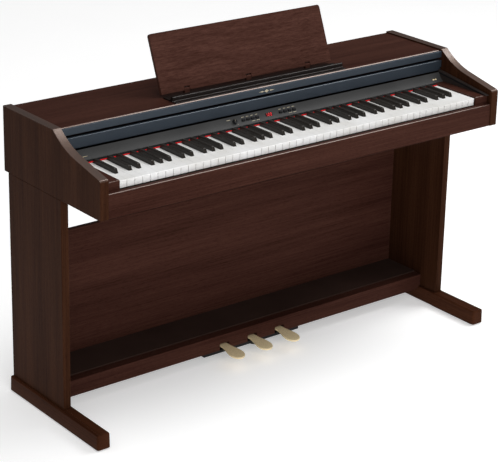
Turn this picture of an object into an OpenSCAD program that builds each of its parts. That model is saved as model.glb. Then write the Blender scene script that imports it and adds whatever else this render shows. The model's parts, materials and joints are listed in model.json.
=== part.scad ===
// Cabinet digital piano on its stand: 88 keys, sliding lid, music rest and three pedals.
// Millimetres. +X is the treble end, -Y is the player's side, +Z is up.
// The origin is on the floor, below the middle of the cabinet.

/* [Overall] */
// Distance from one white key to the next, which sets the width of the whole piano
key_pitch = 23.5; // [19.5:0.1:28.5]
// Depth of the cabinet, front to back
cabinet_d = 457; // [440:1:550]
// Height of the cabinet's underside above the floor
stand_h = 632; // [520:1:760]

/* [Cabinet] */
// Thickness of the two cheeks
cheek_t = 25; // [18:1:32]
// Height of the cheeks over the cabinet's underside
cheek_h = 180; // [172:1:200]
// Height of the cheeks at the front, over the cabinet's underside
cheek_front_h = 106; // [100:1:115]
// Thickness of the top board
top_t = 18; // [12:1:20]
// Step from the cheeks down to the top board
top_drop = 5; // [0:1:8]
// Thickness of the key bed
bed_t = 16; // [12:1:20]
// Thickness of the cabinet's back
back_t = 14; // [6:1:18]
// Width of the block at each end of the keyboard
block_w = 45; // [36:1:60]
// Height of the key slip over the cabinet's underside
slip_h = 65; // [55:1:68]

/* [Keyboard] */
// Length of a white key from its front to the felt
key_visible = 150; // [125:1:180]
// Gap between two white keys
key_gap = 1; // [0.6:0.1:1.4]
// Length of the top of a black key
black_len = 98; // [80:1:110]
// Width of a black key
black_w = 10; // [8.5:0.1:11]
// Height of a black key over the white ones
black_h = 11.5; // [9:0.5:12]

/* [Lid] */
// Thickness of the lid's panel
lid_t = 8; // [5:0.5:12]
// Height of the lid's front grip
grip_h = 31; // [24:1:32]
// Radius of the lid's steel shaft and front pins
pin_r = 3; // [2.5:0.1:3.5]
// Radial clearance of the shaft in the lid's bearings
pin_clear = 0.05; // [0.02:0.01:0.1]
// Fall of the lid's front end when it is shut
lid_fall = 26; // [20:1:28]

/* [Controls] */
// Slope of the control panel
panel_slope = 51.6; // [45:0.1:58]
// Width of a push button
button_w = 11; // [8:0.5:13]
// Height of a push button
button_h = 6; // [4:0.5:8]
// Distance between neighbouring buttons
button_pitch = 15.6; // [14.5:0.1:17]
// Gap round each button
button_clear = 0.4; // [0.2:0.1:0.6]
// Radius of the volume knob
knob_r = 7; // [5.5:0.5:8]
// Width of the display window
window_w = 24; // [16:1:40]
// Height of the display window
window_h = 10; // [7:0.5:13]

/* [Sound] */
// Outer radius of a speaker
speaker_r = 62; // [52:1:70]
// Radius of a headphone jack's bore
jack_r = 3.25; // [3.15:0.05:3.3]
// Depth of a headphone jack's bore
jack_len = 30; // [15:1:40]

/* [Music rest] */
// Width of the music rest
rest_w = 590; // [480:5:700]
// Height of the music rest, from its hinge
rest_h = 161; // [150:1:164]
// Thickness of the music rest
rest_t = 10; // [8:0.5:11]
// Angle that the music rest leans back
rest_lean = 22; // [16:1:26]

/* [Stand] */
// Thickness of the two legs
leg_t = 22; // [16:1:28]
// Height of the feet
foot_h = 45; // [35:1:56]
// Width of the feet at the floor
foot_w = 40; // [34:1:50]
// Height of the board between the legs
stand_back_h = 362; // [250:1:420]
// Thickness of the board between the legs
stand_back_t = 15; // [12:1:20]

/* [Pedals] */
// Distance between neighbouring pedals
pedal_pitch = 100; // [66:1:110]
// Reach of the pedals in front of their rail
pedal_reach = 82; // [65:1:98]
// Greatest width of a pedal
pedal_w = 46; // [38:1:56]
// Radius of the pedals' shaft
pedal_shaft_r = 4; // [3:0.1:5]
// Radial clearance of the pedals on their shaft
pedal_clear = 0.05; // [0.02:0.01:0.1]

/* [Hidden] */
WHITES = [0, 0, 1, 1, 2, 3, 3, 4, 4, 5, 5, 6]; // white key of the octave at or below each semitone
BLACKS = [1, 3, 6, 8, 10];
// sideways offset of each semitone's black key from the joint that it straddles
BLACK_SHIFT = [0, -2, 0, 2, 0, 0, -3, 0, 0, 0, 3, 0];
FIRST_KEY = 21; // the lowest A
LAST_KEY = 108; // the highest C
WHITE_COUNT = 52;

$fn = 32;

wood = [0.2, 0.11, 0.09];
dark_wood = [0.13, 0.08, 0.07];
strip_grey = [0.23, 0.26, 0.3];
panel_grey = [0.27, 0.27, 0.27];
near_black = [0.06, 0.06, 0.065];
ivory = [0.91, 0.9, 0.88];
steel = [0.6, 0.6, 0.62];
gold = [0.78, 0.68, 0.45];

// widths
key_side_gap = 1;
half_keys = WHITE_COUNT * key_pitch / 2;
half_in = half_keys + key_side_gap + block_w;
half_w = half_in + cheek_t;

// heights over the floor
bed_z = stand_h + bed_t;
slip_z = stand_h + slip_h;
key_z = slip_z + 20;
cheek_z = stand_h + cheek_h;
top_z = cheek_z - top_drop;
block_z = key_z + 4;
path_z = top_z - 53;
key_low_z = slip_z;
key_rear_z = key_z - 8;
pivot_r = 4;
pivot_z = key_low_z - 0.1 - pivot_r;

// places along the depth, measured back from the cheeks' front
slip_y = 3;
slip_t = 16;
key_y = slip_y + slip_t + 5;
black_y = key_y + key_visible - black_len - 2;
black_front_gap = 1.5; // room that a black key's front needs as it swings
felt_y = key_y + key_visible + 2;
panel_y = felt_y + 14;
pivot_y = panel_y + 50;
rail_t = 10;
back_y = cabinet_d - 2 - back_t;

// control panel: a shallow hollow plate whose middle is the local origin
panel_half = 15.3;
panel_hollow = 2;
panel_t = 2.5;
panel_rise = panel_half * sin(panel_slope);
panel_run = panel_half * cos(panel_slope);
panel_mid_y = panel_y + panel_run;
panel_mid_z = key_z + 4 + panel_rise;
panel_top_y = panel_y + 2 * panel_run;
panel_top_z = panel_mid_z + panel_rise;
panel_x = half_in - rail_t - 0.5;
hollow_r = (panel_half * panel_half + panel_hollow * panel_hollow) / (2 * panel_hollow);
hollow_a = asin(panel_half / hollow_r);
knob_x = -118;
knob_shaft_r = 3;

// lid
grip_y = panel_top_y + 1;
grip_t = 12;
front_pin_y = grip_y + grip_t / 2;
rear_pin_y = back_y - 15;
lid_half = half_in - 1.5;
rail_gap = 0.5;
rail_top = path_z - pin_r - rail_gap;
lid_shut_y = 20;
bearing_x = [for (i = [-3 : 2 : 3]) i * (half_in - 42) / 3];

// top board, fascia and cheeks
fascia_t = 8;
fascia_y = grip_y + 3;
top_y = fascia_y + fascia_t;
ogee_y = top_y - 6;
ogee_run = 100;
slope_y = 5;
slope_a = atan((cheek_h - cheek_front_h - ogee_run / 2) / (ogee_y - ogee_run - slope_y));
nose_r = 7;

// speakers, in the middle of the floor behind the keys, and headphone jacks
speaker_lip = 12;
speaker_x = [-1, 1] * (half_in - 177);
speaker_y = (pivot_y + 10 + back_y) / 2;
jack_x = [65 - half_in, 99 - half_in];
jack_y = 74;

// music rest
ledge_y = top_y + 19;
ledge_t = 44;
rest_y = ledge_y + 56;
rest_z = top_z + 10;
lug_x = [-1, 0, 1] * (rest_w / 2 - 85);
lug_half = 8;
rest_pin_r = 2.5;
prop_t = 3;
prop_half = 25;
prop_gap = 0.5;
prop_pivot = [rest_t / 2 + prop_gap + prop_t / 2, 75];
prop_len = 84;
prop_pin_r = 1.2;
prop_top = rest_z - prop_pivot[0] * sin(rest_lean) + prop_pivot[1] * cos(rest_lean);
prop_open = rest_lean + acos((prop_top - top_z - prop_t / 2 - 0.5) / prop_len);

// stand
leg_y = 181;
leg_d = cabinet_d - 20 - leg_y;
leg_in = half_w - leg_t;
leg_x = half_w - leg_t / 2;
pad_t = 3;
shelf_z = 86;
shelf_t = 16;
stand_back_y = cabinet_d - 59;
screw_r = 2.5;

// pedals
rail_y = 250;
rail_d = 28;
rail_low_z = 36;
rail_high_z = 83;
box_half = 172;
box_low_z = 28;
box_y = rail_y + rail_d;
box_wall = 4;
box_d = 115;
shaft_y = rail_y + 122;
shaft_z = 52;
hub_r = 8;
pedal_t = 6;
neck_w = 27;
pedal_low = 6; // drop of a pedal's tip below its neck
adjuster_x = 50;
adjuster_y = 300;

function arc(c, r, a0, a1, n) =
    [for (i = [0 : n]) c + r * [cos(a0 + (a1 - a0) * i / n), sin(a0 + (a1 - a0) * i / n)]];
function is_black(semitone) = len(search(semitone, BLACKS)) > 0;
function white_no(key) = floor(key / 12) * 7 + WHITES[key % 12] - 12;
function black_x(key) =
    (white_no(key) + 1) * key_pitch - half_keys + BLACK_SHIFT[key % 12];

// everything is laid out from the cheeks' front, and then centred over the origin
module from_front() {
    translate([0, -cabinet_d / 2, 0]) children();
}

// a box between two corners
module block(a, b) {
    translate(a) cube(b - a);
}

// an outline of (Y, Z) points, carried from x0 to x1
module profile_x(x0, x1, points) {
    translate([x0, 0, 0]) rotate([90, 0, 90]) linear_extrude(x1 - x0) polygon(points);
}

// an outline of (X, Z) points, carried from y0 to y1
module profile_y(y0, y1, points) {
    translate([0, y1, 0]) rotate([90, 0, 0]) linear_extrude(y1 - y0) polygon(points);
}

// a round bar along X at (y, z)
module bar_x(x0, x1, y, z, r) {
    translate([x0, y, z]) rotate([0, 90, 0]) cylinder(r = r, h = x1 - x0);
}

// children in the control panel's own frame: +Y up its slope, +Z out of its face
module on_panel() {
    from_front() translate([0, panel_mid_y, panel_mid_z]) rotate([panel_slope, 0, 0]) children();
}

// ---- cabinet ----

module cheek(side) {
    nose = [nose_r, stand_h + cheek_front_h - nose_r - slope_y * tan(slope_a)];
    start = [ogee_y - ogee_run, cheek_z - ogee_run / 2];
    chord = norm([ogee_run, ogee_run / 2]);
    turn = atan(0.5) - slope_a;
    r = chord / (2 * sin(turn));
    centre = start + r * [-sin(slope_a), cos(slope_a)];
    outline = concat(
        [[0, stand_h]],
        arc(nose, nose_r, 180, 90 + slope_a, 6),
        arc(centre, r, slope_a - 90, slope_a - 90 + 2 * turn, 14),
        [[cabinet_d, cheek_z], [cabinet_d, stand_h]]
    );
    x0 = side < 0 ? -half_w : half_in;
    color(dark_wood) from_front() profile_x(x0, x0 + cheek_t, outline);
}

module left_cheek() {
    cheek(-1);
}

module right_cheek() {
    cheek(1);
}

module top_board() {
    edge_r = 3;
    outline = concat(
        [[cabinet_d, top_z], [cabinet_d, top_z - top_t], [top_y, top_z - top_t]],
        arc([top_y + edge_r, top_z - edge_r], edge_r, 180, 90, 5)
    );
    color(wood) from_front() profile_x(-half_in, half_in, outline);
}

module fascia() {
    outline = [
        [fascia_y, top_z - 20], [fascia_y, top_z - 3], [fascia_y + 2, top_z - 1.5],
        [top_y, top_z - 1.5], [top_y, top_z - 20]
    ];
    color(strip_grey) from_front() profile_x(-half_in, half_in, outline);
}

module cabinet_back() {
    color(near_black) from_front()
        block([-half_in, back_y, bed_z], [half_in, back_y + back_t, top_z - top_t]);
}

module key_bed() {
    color(near_black) from_front() difference() {
        block([-half_in, slip_y + slip_t, stand_h], [half_in, cabinet_d - 2, bed_z]);
        for (x = speaker_x) translate([x, speaker_y, stand_h - 1])
            cylinder(r = speaker_r - speaker_lip, h = bed_t + 2, $fn = 64);
    }
}

module key_slip() {
    outline = concat(
        [[slip_y, stand_h]],
        arc([slip_y + 3, slip_z - 3], 3, 180, 90, 5),
        [[slip_y + slip_t, slip_z], [slip_y + slip_t, stand_h]]
    );
    color(wood) from_front() profile_x(-half_in, half_in, outline);
}

module key_blocks() {
    front = slip_y + 1;
    outline = concat(
        [[front, slip_z]],
        arc([front + 4, block_z - 4], 4, 180, 90, 5),
        [[panel_y, block_z], [panel_y, bed_z], [slip_y + slip_t, bed_z], [slip_y + slip_t, slip_z]]
    );
    color(wood) from_front() {
        profile_x(-half_in, -half_in + block_w, outline);
        profile_x(half_in - block_w, half_in, outline);
    }
}

module lid_rails() {
    fall = lid_fall + 0.7;
    outline = [
        [lid_shut_y - 8, block_z],
        [lid_shut_y - 8, rail_top - fall - 1],
        [lid_shut_y, rail_top - fall],
        [front_pin_y, rail_top],
        [rear_pin_y + 12, rail_top],
        [rear_pin_y + 12, block_z]
    ];
    color(dark_wood) from_front() {
        profile_x(-half_in, -half_in + rail_t, outline);
        profile_x(half_in - rail_t, half_in, outline);
    }
}

// ---- controls ----

function button_x(n) = (n < 4 ? -1 : 1) * (41 + button_pitch * (n < 4 ? 3 - n : n - 4));

module control_panel() {
    c = [0, hollow_r - panel_hollow];
    up = 90 - hollow_a;
    outer = arc(c, hollow_r, -90 - hollow_a, -90 + hollow_a, 10);
    inner = arc(c, hollow_r + panel_t, -90 + hollow_a, -90 - hollow_a, 10);
    color(panel_grey) difference() {
        on_panel() rotate([90, 0, 90]) translate([0, 0, -panel_x])
            linear_extrude(2 * panel_x) polygon(concat(outer, inner));
        for (n = [0 : 7]) on_panel()
            translate([button_x(n), 0, 0])
            cube([button_w + 2 * button_clear, button_h + 2 * button_clear, 20], center = true);
        on_panel() cube([window_w, window_h, 20], center = true);
        on_panel() translate([knob_x, 0, -10])
            cylinder(r = knob_shaft_r + pin_clear, h = 20);
    }
}

module display_window() {
    color([0.35, 0.02, 0.02, 0.9]) on_panel() {
        translate([0, 0, -3]) cube([window_w, window_h, 2.4], center = true);
        translate([0, 0, -6]) cube([window_w + 4, window_h + 3, 2], center = true);
        translate([0, 0, -4.6]) cube([window_w - 1, window_h - 1, 3], center = true);
    }
}

module volume_knob() {
    color(near_black) on_panel() translate([knob_x, 0, 0]) {
        translate([0, 0, -0.9]) cylinder(r = knob_r, h = 5.4, $fn = 48);
        translate([0, 0, -9]) cylinder(r = knob_shaft_r, h = 9);
    }
}

module button(n) {
    color(near_black) on_panel() translate([button_x(n), 0, -3])
        cube([button_w, button_h, 8.4], center = true);
}

module circuit_boards() {
    color([0.05, 0.25, 0.12]) {
        on_panel() {
            translate([-150, -8, -11.2]) cube([300, 22, 1.6]);
            for (n = [0 : 7]) translate([button_x(n), 0, -9.3])
                cube([5, 5, 1], center = true);
        }
        from_front() {
            block([-320, pivot_y + 30, bed_z], [-40, pivot_y + 130, bed_z + 6]);
            for (i = [0 : 4]) translate([-290 + 52 * i, pivot_y + 60, bed_z + 6])
                cube([30, 26, 4 + i]);
            block([-half_keys + 10, key_y + 70, bed_z + 4], [half_keys - 10, key_y + 96, bed_z + 8]);
        }
    }
}

module speakers() {
    rim = speaker_r - speaker_lip;
    outline = [
        [speaker_r, 0], [speaker_r, 3], [rim + 2, 5], [32, 34], [32, 52], [0, 52],
        [0, 28], [16, 28], [rim - 6, 4], [rim - 2, 3], [rim, 0]
    ];
    color(near_black) from_front() for (x = speaker_x) translate([x, speaker_y, bed_z])
        rotate_extrude($fn = 64) polygon(outline);
}

module jack_box() {
    low = stand_h - 26;
    color(near_black) from_front() difference() {
        block([jack_x[0] - 18, jack_y, low], [jack_x[1] + 18, jack_y + jack_len + 12, stand_h]);
        for (x = jack_x) translate([x, jack_y + jack_len, stand_h - 13]) rotate([90, 0, 0])
            cylinder(r = jack_r, h = jack_len + 1);
    }
}

// ---- keyboard ----

module felt_strip() {
    color([0.75, 0.08, 0.12]) from_front()
        block([-half_keys, felt_y, key_z + 0.4], [half_keys, panel_y, key_z + 4]);
}

module key_frame() {
    color(steel) from_front() {
        block([-half_keys, key_y - 2, bed_z], [half_keys, pivot_y + 10, bed_z + 4]);
        block([-half_keys, key_y + 6, bed_z], [half_keys, key_y + 20, key_low_z - 17]);
        block([-half_keys, pivot_y - pivot_r, bed_z], [half_keys, pivot_y + pivot_r, pivot_z]);
        bar_x(-half_keys, half_keys, pivot_y, pivot_z, pivot_r);
    }
}

// a white key: wide at the front, narrower between the black keys, lower behind the felt
module white_key(key) {
    x0 = white_no(key) * key_pitch - half_keys;
    left = key > FIRST_KEY && is_black((key + 11) % 12);
    right = key < LAST_KEY && is_black((key + 1) % 12);
    reach = black_w / 2 + key_gap;
    a = left ? black_x(key - 1) + reach : x0 + key_gap / 2;
    b = right ? black_x(key + 1) - reach : x0 + key_pitch - key_gap / 2;
    block([x0 + key_gap / 2, key_y, key_low_z],
        [x0 + key_pitch - key_gap / 2, black_y - black_front_gap, key_z]);
    block([a, black_y - black_front_gap - 1, key_low_z], [b, felt_y, key_z]);
    block([a, felt_y - 1, key_low_z], [b, pivot_y + 8, key_rear_z]);
}

// a black key: one outline from its sloping front to its tail on the pivot rail
module black_key(key) {
    x = black_x(key);
    top = key_z + black_h;
    outline = [
        [black_y, key_low_z + 2], [black_y, key_z + 1], [black_y + 5, top],
        [felt_y - 3, top], [felt_y - 2, key_rear_z], [pivot_y + 8, key_rear_z],
        [pivot_y + 8, key_low_z], [pivot_y - 20, key_low_z]
    ];
    profile_x(x - black_w / 2, x + black_w / 2, outline);
}

// every key of one semitone, over the whole keyboard
module keys(semitone) {
    black = is_black(semitone);
    color(black ? near_black : ivory) from_front() for (key = [FIRST_KEY : LAST_KEY])
        if (key % 12 == semitone) {
            if (black) black_key(key);
            else white_key(key);
        }
}

// ---- lid ----

module lid_shaft() {
    color(steel) from_front()
        bar_x(-half_in + 3, half_in - 3, rear_pin_y, path_z, pin_r);
}

module lid_panel() {
    low = path_z + pin_r;
    half = half_in - rail_t - 4;
    color(dark_wood) from_front() difference() {
        union() {
            block([-half, grip_y + grip_t, low], [half, rear_pin_y + 6, low + lid_t]);
            for (x = bearing_x) block([x - 12, rear_pin_y - 6, path_z - pin_r - 2.5],
                [x + 12, rear_pin_y + 6, low + 1]);
        }
        for (x = bearing_x) bar_x(x - 13, x + 13, rear_pin_y, path_z, pin_r + pin_clear);
        bar_x(-half - 1, half + 1, rear_pin_y, path_z, pin_r + pin_clear);
    }
}

module lid_grip() {
    low = path_z - 5;
    nose = 3;
    narrow = half_in - rail_t - 1.5;
    outline = concat(
        [[grip_y + grip_t, low]],
        arc([grip_y + nose, low + nose], nose, 270, 180, 4),
        arc([grip_y + nose, low + grip_h - nose], nose, 180, 90, 4),
        [[grip_y + grip_t, low + grip_h]]
    );
    color(strip_grey) from_front() {
        difference() {
            profile_x(-lid_half, lid_half, outline);
            for (side = [-1, 1]) translate([side * (narrow + 10), grip_y + grip_t / 2, low])
                cube([20, grip_t + 2, 2 * (pin_r + 6)], center = true);
        }
        bar_x(-lid_half, lid_half, front_pin_y, path_z, pin_r);
    }
}

// ---- music rest ----

module music_ledge() {
    lip = 14.5;
    outline = [
        [ledge_y, top_z], [ledge_y, top_z + lip - 4], [ledge_y + 1.2, top_z + lip - 1.2],
        [ledge_y + 4, top_z + lip], [ledge_y + 7, top_z + lip - 1],
        [ledge_y + 9.5, top_z + lip - 4], [ledge_y + 12, top_z + 6], [ledge_y + 16, top_z + 4],
        [ledge_y + ledge_t, top_z + 4], [ledge_y + ledge_t, top_z]
    ];
    color(near_black) from_front() profile_x(-rest_w / 2, rest_w / 2, outline);
}

module rest_hinge() {
    color(steel) from_front() for (x = lug_x) {
        block([x - lug_half, rest_y - 4.5, top_z], [x + lug_half, rest_y + 4.5, rest_z]);
        bar_x(x - lug_half, x + lug_half, rest_y, rest_z, 4.5);
        bar_x(x - lug_half - 12, x + lug_half + 12, rest_y, rest_z, rest_pin_r);
    }
}

// children in the music rest's own frame: +Z up the board, +Y out of its back
module on_rest() {
    from_front() translate([0, rest_y, rest_z]) rotate([-rest_lean, 0, 0]) children();
}

module music_rest() {
    corner = 9;
    foot = 4;
    half = rest_w / 2;
    lug_r = prop_t / 2 + 1.1;
    outline = concat(
        [[-half, -foot], [half, -foot]],
        arc([half - corner, rest_h - corner], corner, 0, 90, 8),
        arc([corner - half, rest_h - corner], corner, 90, 180, 8)
    );
    color(wood) on_rest() difference() {
        union() {
            profile_y(-rest_t / 2, rest_t / 2, outline);
            for (side = [-1, 1]) prop_lug(side * (prop_half + 5), 4, lug_r);
        }
        for (x = lug_x) {
            block([x - lug_half - 1, -rest_t, -foot - 1], [x + lug_half + 1, rest_t, 7]);
            bar_x(x - lug_half - 14, x + lug_half + 14, 0, 0, rest_pin_r + pin_clear);
        }
        bar_x(-prop_half - 10, prop_half + 10, prop_pivot[0], prop_pivot[1],
            prop_pin_r + pin_clear);
    }
}

// a small ear on the back of the music rest, which holds an end of the prop's pin
module prop_lug(x, half, r) {
    block([x - half, 0, prop_pivot[1] - r], [x + half, prop_pivot[0], prop_pivot[1] + r]);
    bar_x(x - half, x + half, prop_pivot[0], prop_pivot[1], r);
}

module rest_prop() {
    color(steel) on_rest() translate([0, prop_pivot[0], prop_pivot[1]])
        rotate([prop_open, 0, 0]) {
            difference() {
                block([-prop_half, -prop_t / 2, -prop_len], [prop_half, prop_t / 2, 0]);
                block([-prop_half + 9, -prop_t, -prop_len + 9], [prop_half - 9, prop_t, -16]);
            }
            bar_x(-prop_half, prop_half, 0, 0, prop_t / 2);
            bar_x(-prop_half, prop_half, 0, -prop_len, prop_t / 2);
            bar_x(-prop_half - 8.5, prop_half + 8.5, 0, 0, prop_pin_r);
        }
}

// ---- stand ----

module leg(side) {
    x0 = side < 0 ? -half_w : half_w - leg_t;
    color(dark_wood) from_front()
        block([x0, leg_y, foot_h], [x0 + leg_t, leg_y + leg_d, stand_h]);
}

module left_leg() {
    leg(-1);
}

module right_leg() {
    leg(1);
}

// a foot: its sides and ends lean in a little towards the top
module foot(side) {
    x = side * leg_x;
    half = foot_w / 2;
    back = leg_y + leg_d + 5;
    long = concat(
        [[7, pad_t], [8, foot_h * 0.7]],
        arc([15, foot_h - 7], 7, 170, 90, 4),
        arc([back - 8, foot_h - 5], 5, 90, 10, 4),
        [[back, pad_t]]
    );
    across = concat(
        [[x - half, pad_t]],
        arc([x - half + 4, foot_h - 3], 3, 170, 90, 4),
        arc([x + half - 4, foot_h - 3], 3, 90, 10, 4),
        [[x + half, pad_t]]
    );
    color(wood) from_front() intersection() {
        profile_x(x - foot_w, x + foot_w, long);
        profile_y(0, cabinet_d, across);
    }
}

module left_foot() {
    foot(-1);
}

module right_foot() {
    foot(1);
}

module foot_pads() {
    back = leg_y + leg_d;
    color(near_black) from_front() for (side = [-1, 1], y = [[20, 190], [back - 70, back - 4]])
        translate([side * leg_x, (y[0] + y[1]) / 2, pad_t / 2])
        cube([foot_w - 8, y[1] - y[0], pad_t], center = true);
}

function screw_places() = [
    for (x = [-leg_in + 21, leg_in - 21], z = [shelf_z + 34, shelf_z + stand_back_h - 28]) [x, z]
];

module stand_back() {
    color(wood) from_front() difference() {
        block([-leg_in, stand_back_y, shelf_z],
            [leg_in, stand_back_y + stand_back_t, shelf_z + stand_back_h]);
        for (p = screw_places()) translate([p[0], stand_back_y - 1, p[1]]) rotate([-90, 0, 0])
            cylinder(r = screw_r + 0.1, h = stand_back_t + 2);
    }
}

// the screws go in from behind, and their heads lie on the board's back
module stand_screws() {
    back = stand_back_y + stand_back_t;
    color(steel) from_front() for (p = screw_places()) translate([p[0], back, p[1]]) {
        rotate([-90, 0, 0]) cylinder(r = screw_r + 3.5, h = 2.5);
        rotate([90, 0, 0]) cylinder(r = screw_r, h = stand_back_t - 1);
    }
}

module pedal_rail() {
    slot = neck_w / 2 + 3;
    outline = concat(
        [[rail_y, rail_low_z]],
        arc([rail_y + 3, rail_high_z - 3], 3, 180, 90, 5),
        [[rail_y + rail_d, rail_high_z], [rail_y + rail_d, rail_low_z]]
    );
    color(wood) from_front() difference() {
        profile_x(-leg_in, leg_in, outline);
        for (n = [-1 : 1]) block([n * pedal_pitch - slot, rail_y - 1, rail_low_z - 1],
            [n * pedal_pitch + slot, rail_y + rail_d + 1, rail_low_z + 20]);
        for (side = [-1, 1]) translate([side * leg_x, rail_y + rail_d / 2, 0])
            cube([foot_w, rail_d + 2, 2 * foot_h], center = true);
    }
}

module pedal_shelf() {
    color(near_black) from_front()
        block([-leg_in, rail_y + rail_d, shelf_z - shelf_t],
            [leg_in, stand_back_y + stand_back_t, shelf_z]);
}

module pedal_box() {
    high = shelf_z - shelf_t;
    color(near_black) from_front() difference() {
        union() {
            block([-box_half, box_y, box_low_z], [box_half, box_y + box_d, high]);
            block([-box_half, rail_y + 1, box_low_z], [box_half, box_y + 1, rail_low_z]);
        }
        block([-box_half + box_wall, box_y - 1, box_low_z + 3.5],
            [box_half - box_wall, box_y + box_d - box_wall, high + 1]);
        block([-box_half + box_wall, rail_y + 5, box_low_z + 3.5],
            [box_half - box_wall, box_y, rail_low_z + 1]);
        bar_x(-box_half - 1, box_half + 1, shaft_y, shaft_z, pedal_shaft_r + pedal_clear);
        translate([adjuster_x, adjuster_y, box_low_z - 1]) cylinder(r = 8.1, h = 8);
    }
}

module pedal_shaft() {
    color(steel) from_front()
        bar_x(-box_half, box_half, shaft_y, shaft_z, pedal_shaft_r);
}

// torsion springs, wound on the shaft beside each pedal's hub
module pedal_springs() {
    wire = 0.8;
    coil_r = pedal_shaft_r + 1.6;
    coil_len = 12;
    color(steel) from_front() for (n = [-1 : 1]) {
        x = n * pedal_pitch + 14;
        translate([x, shaft_y, shaft_z]) rotate([0, 90, 0])
            linear_extrude(coil_len, twist = -360 * 5, slices = 75, $fn = 8)
            translate([coil_r, 0]) circle(r = wire);
        translate([x + coil_len, shaft_y, box_low_z + 3.6])
            cylinder(r = wire, h = shaft_z - coil_r - box_low_z - 3, $fn = 16);
    }
}

module pedal_adjuster() {
    color(near_black) from_front() translate([adjuster_x, adjuster_y, 0]) {
        cylinder(r = 20, h = 7, $fn = 48);
        cylinder(r = 8, h = box_low_z + 5);
    }
}

// a pedal: hub, lever, neck and a rounded paddle, as its plan seen through its side outline
module pedal(n) {
    x = n * pedal_pitch;
    tip = rail_y - pedal_reach;
    wide = pedal_w / 2;
    neck = neck_w / 2;
    round_y = tip + wide * 1.15;
    plan = concat(
        [[neck, box_y + 4], [neck, rail_y - 4], [neck + (wide - neck) * 0.3, rail_y - 22]],
        [for (i = [0 : 24]) let (a = 7.5 * i)
            [wide * cos(a), round_y - (round_y - tip) * sin(a)]],
        [[-neck - (wide - neck) * 0.3, rail_y - 22], [-neck, rail_y - 4], [-neck, box_y + 4]]
    );
    high = shaft_z - 2;
    side = [
        [tip - 1, high - pedal_low - 2], [tip + 10, high - pedal_low],
        [rail_y - 30, high - 2], [rail_y, high], [box_y + 5, high],
        [box_y + 5, high - pedal_t], [rail_y, high - pedal_t],
        [rail_y - 30, high - 2 - pedal_t], [tip + 10, high - pedal_low - pedal_t],
        [tip - 1, high - pedal_low - pedal_t + 1]
    ];
    color(gold) from_front() translate([x, 0, 0]) difference() {
        union() {
            intersection() {
                translate([0, 0, shaft_z - 40]) linear_extrude(50) polygon(plan);
                profile_x(-pedal_w, pedal_w, side);
            }
            block([-6, box_y, high - pedal_t], [6, shaft_y, high]);
            bar_x(-12, 12, shaft_y, shaft_z, hub_r);
        }
        bar_x(-20, 20, shaft_y, shaft_z, pedal_shaft_r + pedal_clear);
    }
}

module left_pedal() {
    pedal(-1);
}

module middle_pedal() {
    pedal(0);
}

module right_pedal() {
    pedal(1);
}

left_cheek();
right_cheek();
top_board();
fascia();
cabinet_back();
key_bed();
key_slip();
key_blocks();
lid_rails();
control_panel();
display_window();
circuit_boards();
felt_strip();
key_frame();
speakers();
jack_box();
left_leg();
right_leg();
left_foot();
right_foot();
stand_back();
pedal_rail();
pedal_shelf();
pedal_box();
pedal_shaft();
pedal_springs();
pedal_adjuster();
foot_pads();
stand_screws();
music_ledge();
rest_hinge();
music_rest();
rest_prop();
lid_shaft();
lid_panel();
lid_grip();
volume_knob();
left_pedal();
middle_pedal();
right_pedal();
button(0);  // button_1
button(1);  // button_2
button(2);  // button_3
button(3);  // button_4
button(4);  // button_5
button(5);  // button_6
button(6);  // button_7
button(7);  // button_8
keys(0);  // keys_c
keys(1);  // keys_c_sharp
keys(2);  // keys_d
keys(3);  // keys_d_sharp
keys(4);  // keys_e
keys(5);  // keys_f
keys(6);  // keys_f_sharp
keys(7);  // keys_g
keys(8);  // keys_g_sharp
keys(9);  // keys_a
keys(10);  // keys_a_sharp
keys(11);  // keys_b
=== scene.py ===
"""A cabinet digital piano on its stand, laid out as an add-on and run as a script.

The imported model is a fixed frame: its boxes, joints and mounts give every place here. Each
operator makes one piece, or a group of like pieces, over that frame and gives it its finish.
Metres. +X is the treble end, -Y is the player's side and +Z is up.
"""

import json
import math

import bmesh
import bpy
import numpy as np
from mathutils import Matrix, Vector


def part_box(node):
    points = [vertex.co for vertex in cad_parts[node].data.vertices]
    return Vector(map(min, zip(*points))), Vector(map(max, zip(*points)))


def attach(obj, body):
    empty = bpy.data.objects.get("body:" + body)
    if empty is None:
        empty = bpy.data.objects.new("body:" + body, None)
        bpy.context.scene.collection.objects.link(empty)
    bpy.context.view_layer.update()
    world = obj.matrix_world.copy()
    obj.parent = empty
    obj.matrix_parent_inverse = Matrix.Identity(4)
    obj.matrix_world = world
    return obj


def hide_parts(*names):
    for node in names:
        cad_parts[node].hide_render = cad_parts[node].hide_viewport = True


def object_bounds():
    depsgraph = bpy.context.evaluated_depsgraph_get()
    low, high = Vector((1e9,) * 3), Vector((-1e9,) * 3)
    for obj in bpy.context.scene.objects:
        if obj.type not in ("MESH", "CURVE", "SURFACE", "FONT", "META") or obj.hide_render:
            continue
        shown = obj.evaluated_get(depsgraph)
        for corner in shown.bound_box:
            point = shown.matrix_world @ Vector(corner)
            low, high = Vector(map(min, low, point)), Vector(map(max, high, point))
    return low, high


bl_info = {
    "name": "Digital piano on stand",
    "version": (1, 0, 0),
    "blender": (4, 5, 0),
    "location": "View3D > Sidebar > Piano",
    "description": "Makes the boards, keys, controls, pedals and finishes of a cabinet piano",
    "category": "Add Mesh",
}

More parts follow.
